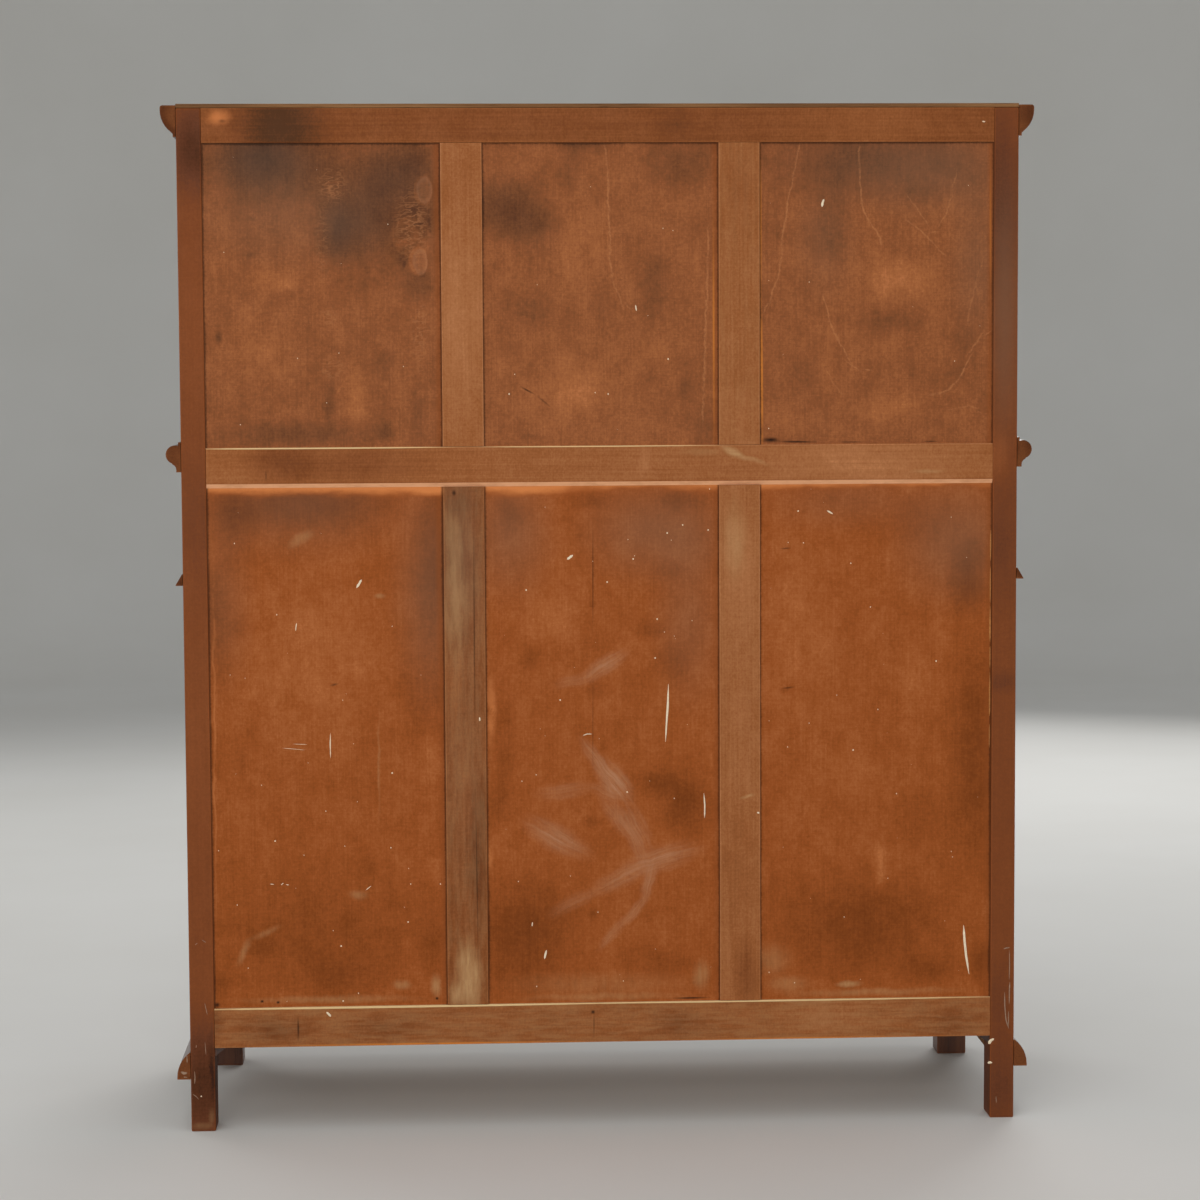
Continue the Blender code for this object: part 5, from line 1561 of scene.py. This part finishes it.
def column_half(length):
    """Outline from the foot to the middle of the girdle, as (radius, height)."""
    ring_middle = FOOT_HEIGHT + RING_HEIGHT / 2
    bulb_low = FOOT_HEIGHT + RING_HEIGHT + NECK_HEIGHT
    cup_rise = length / 2 - GIRDLE_HEIGHT / 2 - bulb_low
    foot_top = FOOT_HEIGHT - FILLET
    points = [(0.0, 0.0)]
    points += arc((FOOT_RADIUS - FOOT_EASE, FOOT_EASE), FOOT_EASE, -90, 0, 4)
    points += arc((FOOT_RADIUS - FOOT_ROUND, foot_top - FOOT_ROUND), FOOT_ROUND, 0, 90, 6)
    points += [(NECK_RADIUS + 4 * FILLET, foot_top)]
    points += arc((RING_RADIUS - RING_HEIGHT / 2, ring_middle), RING_HEIGHT / 2, -90, 90, 10)
    points += [(NECK_RADIUS, bulb_low - NECK_HEIGHT + 3 * FILLET)]
    points += [(NECK_RADIUS - FILLET, bulb_low - NECK_HEIGHT / 2)]
    for n in range(CUP_STEPS + 1):
        angle = math.pi / 2 * n / CUP_STEPS
        radius = NECK_RADIUS + (BULB_RADIUS - NECK_RADIUS) * math.sin(angle)
        points.append((radius, bulb_low + (1 - math.cos(angle)) * cup_rise))
    points += [(BULB_RADIUS - 2 * FILLET, length / 2 - GIRDLE_HEIGHT / 2 + FILLET)]
    points += arc((BULB_RADIUS - GIRDLE_DEPTH, length / 2), GIRDLE_HEIGHT / 2 - FILLET, -80, 0, 6)
    return points, bulb_low


for side in SIDES:
    node = f"column_{side}"
    low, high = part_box(node)
    middle, length = (low + high) / 2, high.z - low.z
    half, bulb_low = column_half(length)
    whole = half + [(radius, length - height) for radius, height in reversed(half[:-1])]
    lobed = {"Lobes": LOBES, "Lobe Depth": LOBE_DEPTH, "Lobes From": bulb_low, "Lobes To": length - bulb_low}
    mesh = made_by(lathe, outline_curve(whole), f"turned_{node}", front_oak, Sides=COLUMN_SIDES, **lobed)
    mesh.transform(Matrix.Translation((middle.x, middle.y, low.z)))
    mark_grain(mesh, lambda middle: "Z", low, high)
    show(mesh, BODY_OF[node], (node,))
    print(mesh.name, len(mesh.polygons), "faces")

# %% [markdown]
# The knobs are turned too: a flat rose, a hollow neck and a flattened ball.
#
# They come from the same lathe, with no lobes. Each outline is worked out from the box of its node, then laid
# over so that its axis points out of the front.

# %% Knobs
KNOB_SIDES, BALL_STEPS = 48, 16
ROSE, NECK, WAIST = 0.8, 0.5, 0.92  # rose and neck as shares of the knob's radius, waist of the neck's
ROSE_HEIGHT, ROSE_EASE = 0.002, 0.001
NECK_HEIGHTS = (0.004, 0.006, 0.0085)
BALL_LOW, TIP_RADIUS, TIP_DROP = 0.009, 0.0045, 0.0004


def knob_outline(radius, length):
    rose, neck = ROSE * radius, NECK * radius
    points = [(0.0, 0.0), (rose, 0.0)]
    points += arc((rose - ROSE_EASE, ROSE_HEIGHT), ROSE_EASE, 0, 90, 3)
    points += zip((neck, neck * WAIST, neck), NECK_HEIGHTS)
    for n in range(1, BALL_STEPS):
        angle = math.pi * n / BALL_STEPS
        out = neck / 2 + (radius - neck / 2) * math.sin(angle)
        points.append((out, BALL_LOW + (length - BALL_LOW) * (1 - math.cos(angle)) / 2))
    return points + [(TIP_RADIUS, length - TIP_DROP), (0.0, length)]


knobs = [f"{stage}_door_knob_{side}" for stage, side in DOORS] + [f"drawer_knob_{side}" for side in SIDES]
for node in knobs:
    low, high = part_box(node)
    middle, length = (low + high) / 2, high.y - low.y
    outline = outline_curve(knob_outline((high.x - low.x) / 2, length))
    plain = {"Lobes": 0.0, "Lobe Depth": 0.0, "Lobes From": 0.0, "Lobes To": length}
    mesh = made_by(lathe, outline, f"turned_{node}", dark_oak, Sides=KNOB_SIDES, **plain)
    mesh.transform(Matrix.Translation((middle.x, high.y, middle.z)) @ Matrix.Rotation(math.pi / 2, 4, "X"))
    mark_grain(mesh, lambda middle: "Y", low, high)
    show(mesh, BODY_OF[node], (node,))
print("knobs:", len(knobs))

# %% [markdown]
# Bead mouldings run round the door panels and the drawer fronts.
#
# A sweep along a path would round the corners. Here each is a section carried round a rectangle with mitred
# corners: every point of the section gives one rectangle, and neighbouring rectangles are joined.

# %% Beads
PANEL_BEAD = (  # inwards from the rectangle, and out from the front
    (0.0, 0.0), (0.0, 0.0022), (0.0020, 0.0026), (0.0030, 0.0012), (0.0052, 0.0004), (0.0072, -0.0024),
    (0.0084, -0.0060), (0.0086, -0.0096), (0.0, -0.0096),
)
DRAWER_BEAD = (
    (0.0, -0.0006), (0.0004, 0.0014), (0.0020, 0.0026), (0.0040, 0.0027), (0.0054, 0.0012), (0.0074, 0.0008),
    (0.0080, -0.0006),
)
DRAWER_BEAD_INSET = 0.016


def bead(name, node, low, high, edge, face, section):
    """A mitred bead round the rectangle that lies an edge inside a box, on a front at y = face."""
    low, high = low + Vector((edge, 0.0, edge)), high - Vector((edge, 0.0, edge))
    bm = bmesh.new()
    rings = []
    for inset, out in section:
        x0, x1, z0, z1 = low.x + inset, high.x - inset, low.z + inset, high.z - inset
        rings.append([bm.verts.new((x, face - out, z)) for x, z in ((x0, z0), (x1, z0), (x1, z1), (x0, z1))])
    strip(bm, rings + rings[:1])
    bmesh.ops.recalc_face_normals(bm, faces=bm.faces[:])
    mesh = mesh_of(bm, name)
    middle, half = (low + high) / 2, (high - low) / 2

    def grain_of(spot):
        aside, up = abs(spot.x - middle.x) / half.x, abs(spot.z - middle.z) / half.z
        return "Z" if aside > up else "X"

    mark_grain(mesh, grain_of, low, high)
    mesh.materials.append(front_oak.material)
    show(mesh, BODY_OF[node])


for stage, side in DOORS:
    node = f"{stage}_door_frame_{side}"
    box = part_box(f"{stage}_door_panel_{side}")
    bead(f"{stage}_door_bead_{side}", node, *box, PANEL_TONGUE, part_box(node)[0].y, PANEL_BEAD)
for side in SIDES:
    node = f"drawer_{side}"
    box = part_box(node)
    bead(f"drawer_bead_{side}", node, *box, DRAWER_BEAD_INSET, box[0].y, DRAWER_BEAD)
print("beads:", len(DOORS), "doors,", len(SIDES), "drawers")

# %% [markdown]
# The frieze carries a row of carved lunettes: half-round arches, each with a fan of petals.
#
# The row repeats, so it is a rule. One lunette is two arched beads, a boss and petals set out round it by
# their number, with a small leaf between neighbours. Points along a line then repeat it. The relief stands
# a few millimetres proud and its lower half is sunk in the board.

# %% Carved frieze
LUNETTES, PETALS, RELIEF = 9, 5, 0.0042
FRIEZE_MARGIN, LUNETTE_LIFT, LUNETTE_FILL = 0.028, 0.012, 0.46
ARCH_SHARES = ((0.94, 1.0), (0.74, 0.7))  # radius of an arch in the lunette's, and its bead in the relief
PETAL_REACH, PETAL_SIZE = 0.42, (0.21, 0.085)  # shares of the lunette's radius, as all that follow
BOSS_SIZE, LEAF_SIZE, SIDE_LEAF_SIZE = (0.15, 0.15), (0.07, 0.22), (0.06, 0.17)
LEAF_RISE, SIDE_LEAF_RISE, SIDE_LEAF_OUT, SIDE_LEAF_TURN = 0.82, 0.95, 0.13, 0.6
SIDE_LEAF_RELIEF = 0.8
BALL_FACES = {"Segments": 16, "Rings": 10, "Radius": 1.0}
ARCH_STEPS, ARCH_SIDES = 32, 12


def blob(rule, radius, shares, thick):
    """A flattened ball, sized by shares of the lunette's radius."""
    ball = rule.node("GeometryNodeMeshUVSphere", None, BALL_FACES)
    size = rule.xyz(radius * shares[0], radius * shares[1], thick)
    return rule.node("GeometryNodeTransform", None, {"Geometry": ball, "Scale": size})


def arch(rule, radius, thickness):
    sockets = {"Resolution": ARCH_STEPS, "Radius": radius, "Start Angle": 0.0, "Sweep Angle": math.pi}
    path = rule.node("GeometryNodeCurveArc", {"mode": "RADIUS"}, sockets)
    sides = {"Resolution": ARCH_SIDES, "Radius": thickness}
    section = rule.node("GeometryNodeCurvePrimitiveCircle", None, sides)
    sockets = {"Curve": path, "Profile Curve": section, "Fill Caps": True}
    return rule.node("GeometryNodeCurveToMesh", None, sockets)


def joined(rule, *shapes):
    whole = rule.node("GeometryNodeJoinGeometry")
    for shape in shapes:
        rule.plug(whole.socket.node.inputs[0], shape)
    return whole


def moved(rule, shape, x, y, turn=0.0):
    sockets = {"Geometry": shape, "Translation": rule.xyz(x, y), "Rotation": (0.0, 0.0, turn)}
    return rule.node("GeometryNodeTransform", None, sockets)


def fan(rule, radius, relief, petals):
    """Petals set out round a half circle."""
    angle = math.pi * (rule.node("GeometryNodeInputIndex") + 0.5) / petals
    along, above = (rule.maths(way, angle) * radius * PETAL_REACH for way in ("COSINE", "SINE"))
    line = rule.node("GeometryNodeMeshLine", None, {"Count": petals})
    sockets = {"Geometry": line, "Position": rule.xyz(along, above)}
    spots = rule.node("GeometryNodeSetPosition", None, sockets)
    petal = blob(rule, radius, PETAL_SIZE, relief)
    sockets = {"Points": spots, "Instance": petal, "Rotation": rule.xyz(z=angle)}
    return rule.node("GeometryNodeInstanceOnPoints", None, sockets)


def lunette_rule():
    rule = Rule("row of lunettes")
    count, petals = rule.asks("Count", "Int"), rule.asks("Petals", "Int")
    pitch, radius, relief = (rule.asks(name, "Float") for name in ("Pitch", "Radius", "Relief"))
    leaf = blob(rule, radius, LEAF_SIZE, relief)
    side_leaf = blob(rule, radius, SIDE_LEAF_SIZE, relief * SIDE_LEAF_RELIEF)
    pieces = [arch(rule, radius * share, relief * bead_share) for share, bead_share in ARCH_SHARES]
    pieces += [fan(rule, radius, relief, petals), blob(rule, radius, BOSS_SIZE, relief)]
    pieces += [moved(rule, leaf, pitch / 2, radius * LEAF_RISE)]
    for hand in (-1, 1):
        out = pitch / 2 + radius * (hand * SIDE_LEAF_OUT)
        pieces += [moved(rule, side_leaf, out, radius * SIDE_LEAF_RISE, -hand * SIDE_LEAF_TURN)]
    sockets = {"Count": count, "Offset": rule.xyz(pitch)}
    line = rule.node("GeometryNodeMeshLine", None, sockets)
    sockets = {"Points": line, "Instance": joined(rule, *pieces)}
    rule.ends(rule.node("GeometryNodeInstanceOnPoints", None, sockets))
    return rule


low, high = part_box("frieze")
pitch = (high.x - low.x - 2 * FRIEZE_MARGIN) / LUNETTES
row = {"Count": LUNETTES, "Pitch": pitch, "Radius": pitch * LUNETTE_FILL, "Relief": RELIEF, "Petals": PETALS}
mesh = made_by(lunette_rule(), bpy.data.meshes.new("empty"), "carved_lunettes", front_oak, **row)
start = Vector((low.x + FRIEZE_MARGIN + pitch / 2, low.y, low.z + LUNETTE_LIFT))
mesh.transform(Matrix.Translation(start) @ Matrix.Rotation(math.pi / 2, 4, "X"))
mark_grain(mesh, lambda middle: "X", low, high)
show(mesh, BODY_OF["frieze"], sharp=SHARP)
print(mesh.name, len(mesh.polygons), "faces")

# %% [markdown]
# Last, the dressed piece is measured, and the lesson ends.

# %% Sizes and finish
low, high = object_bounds()
print("dressed:", [round(size, 4) for size in high - low])
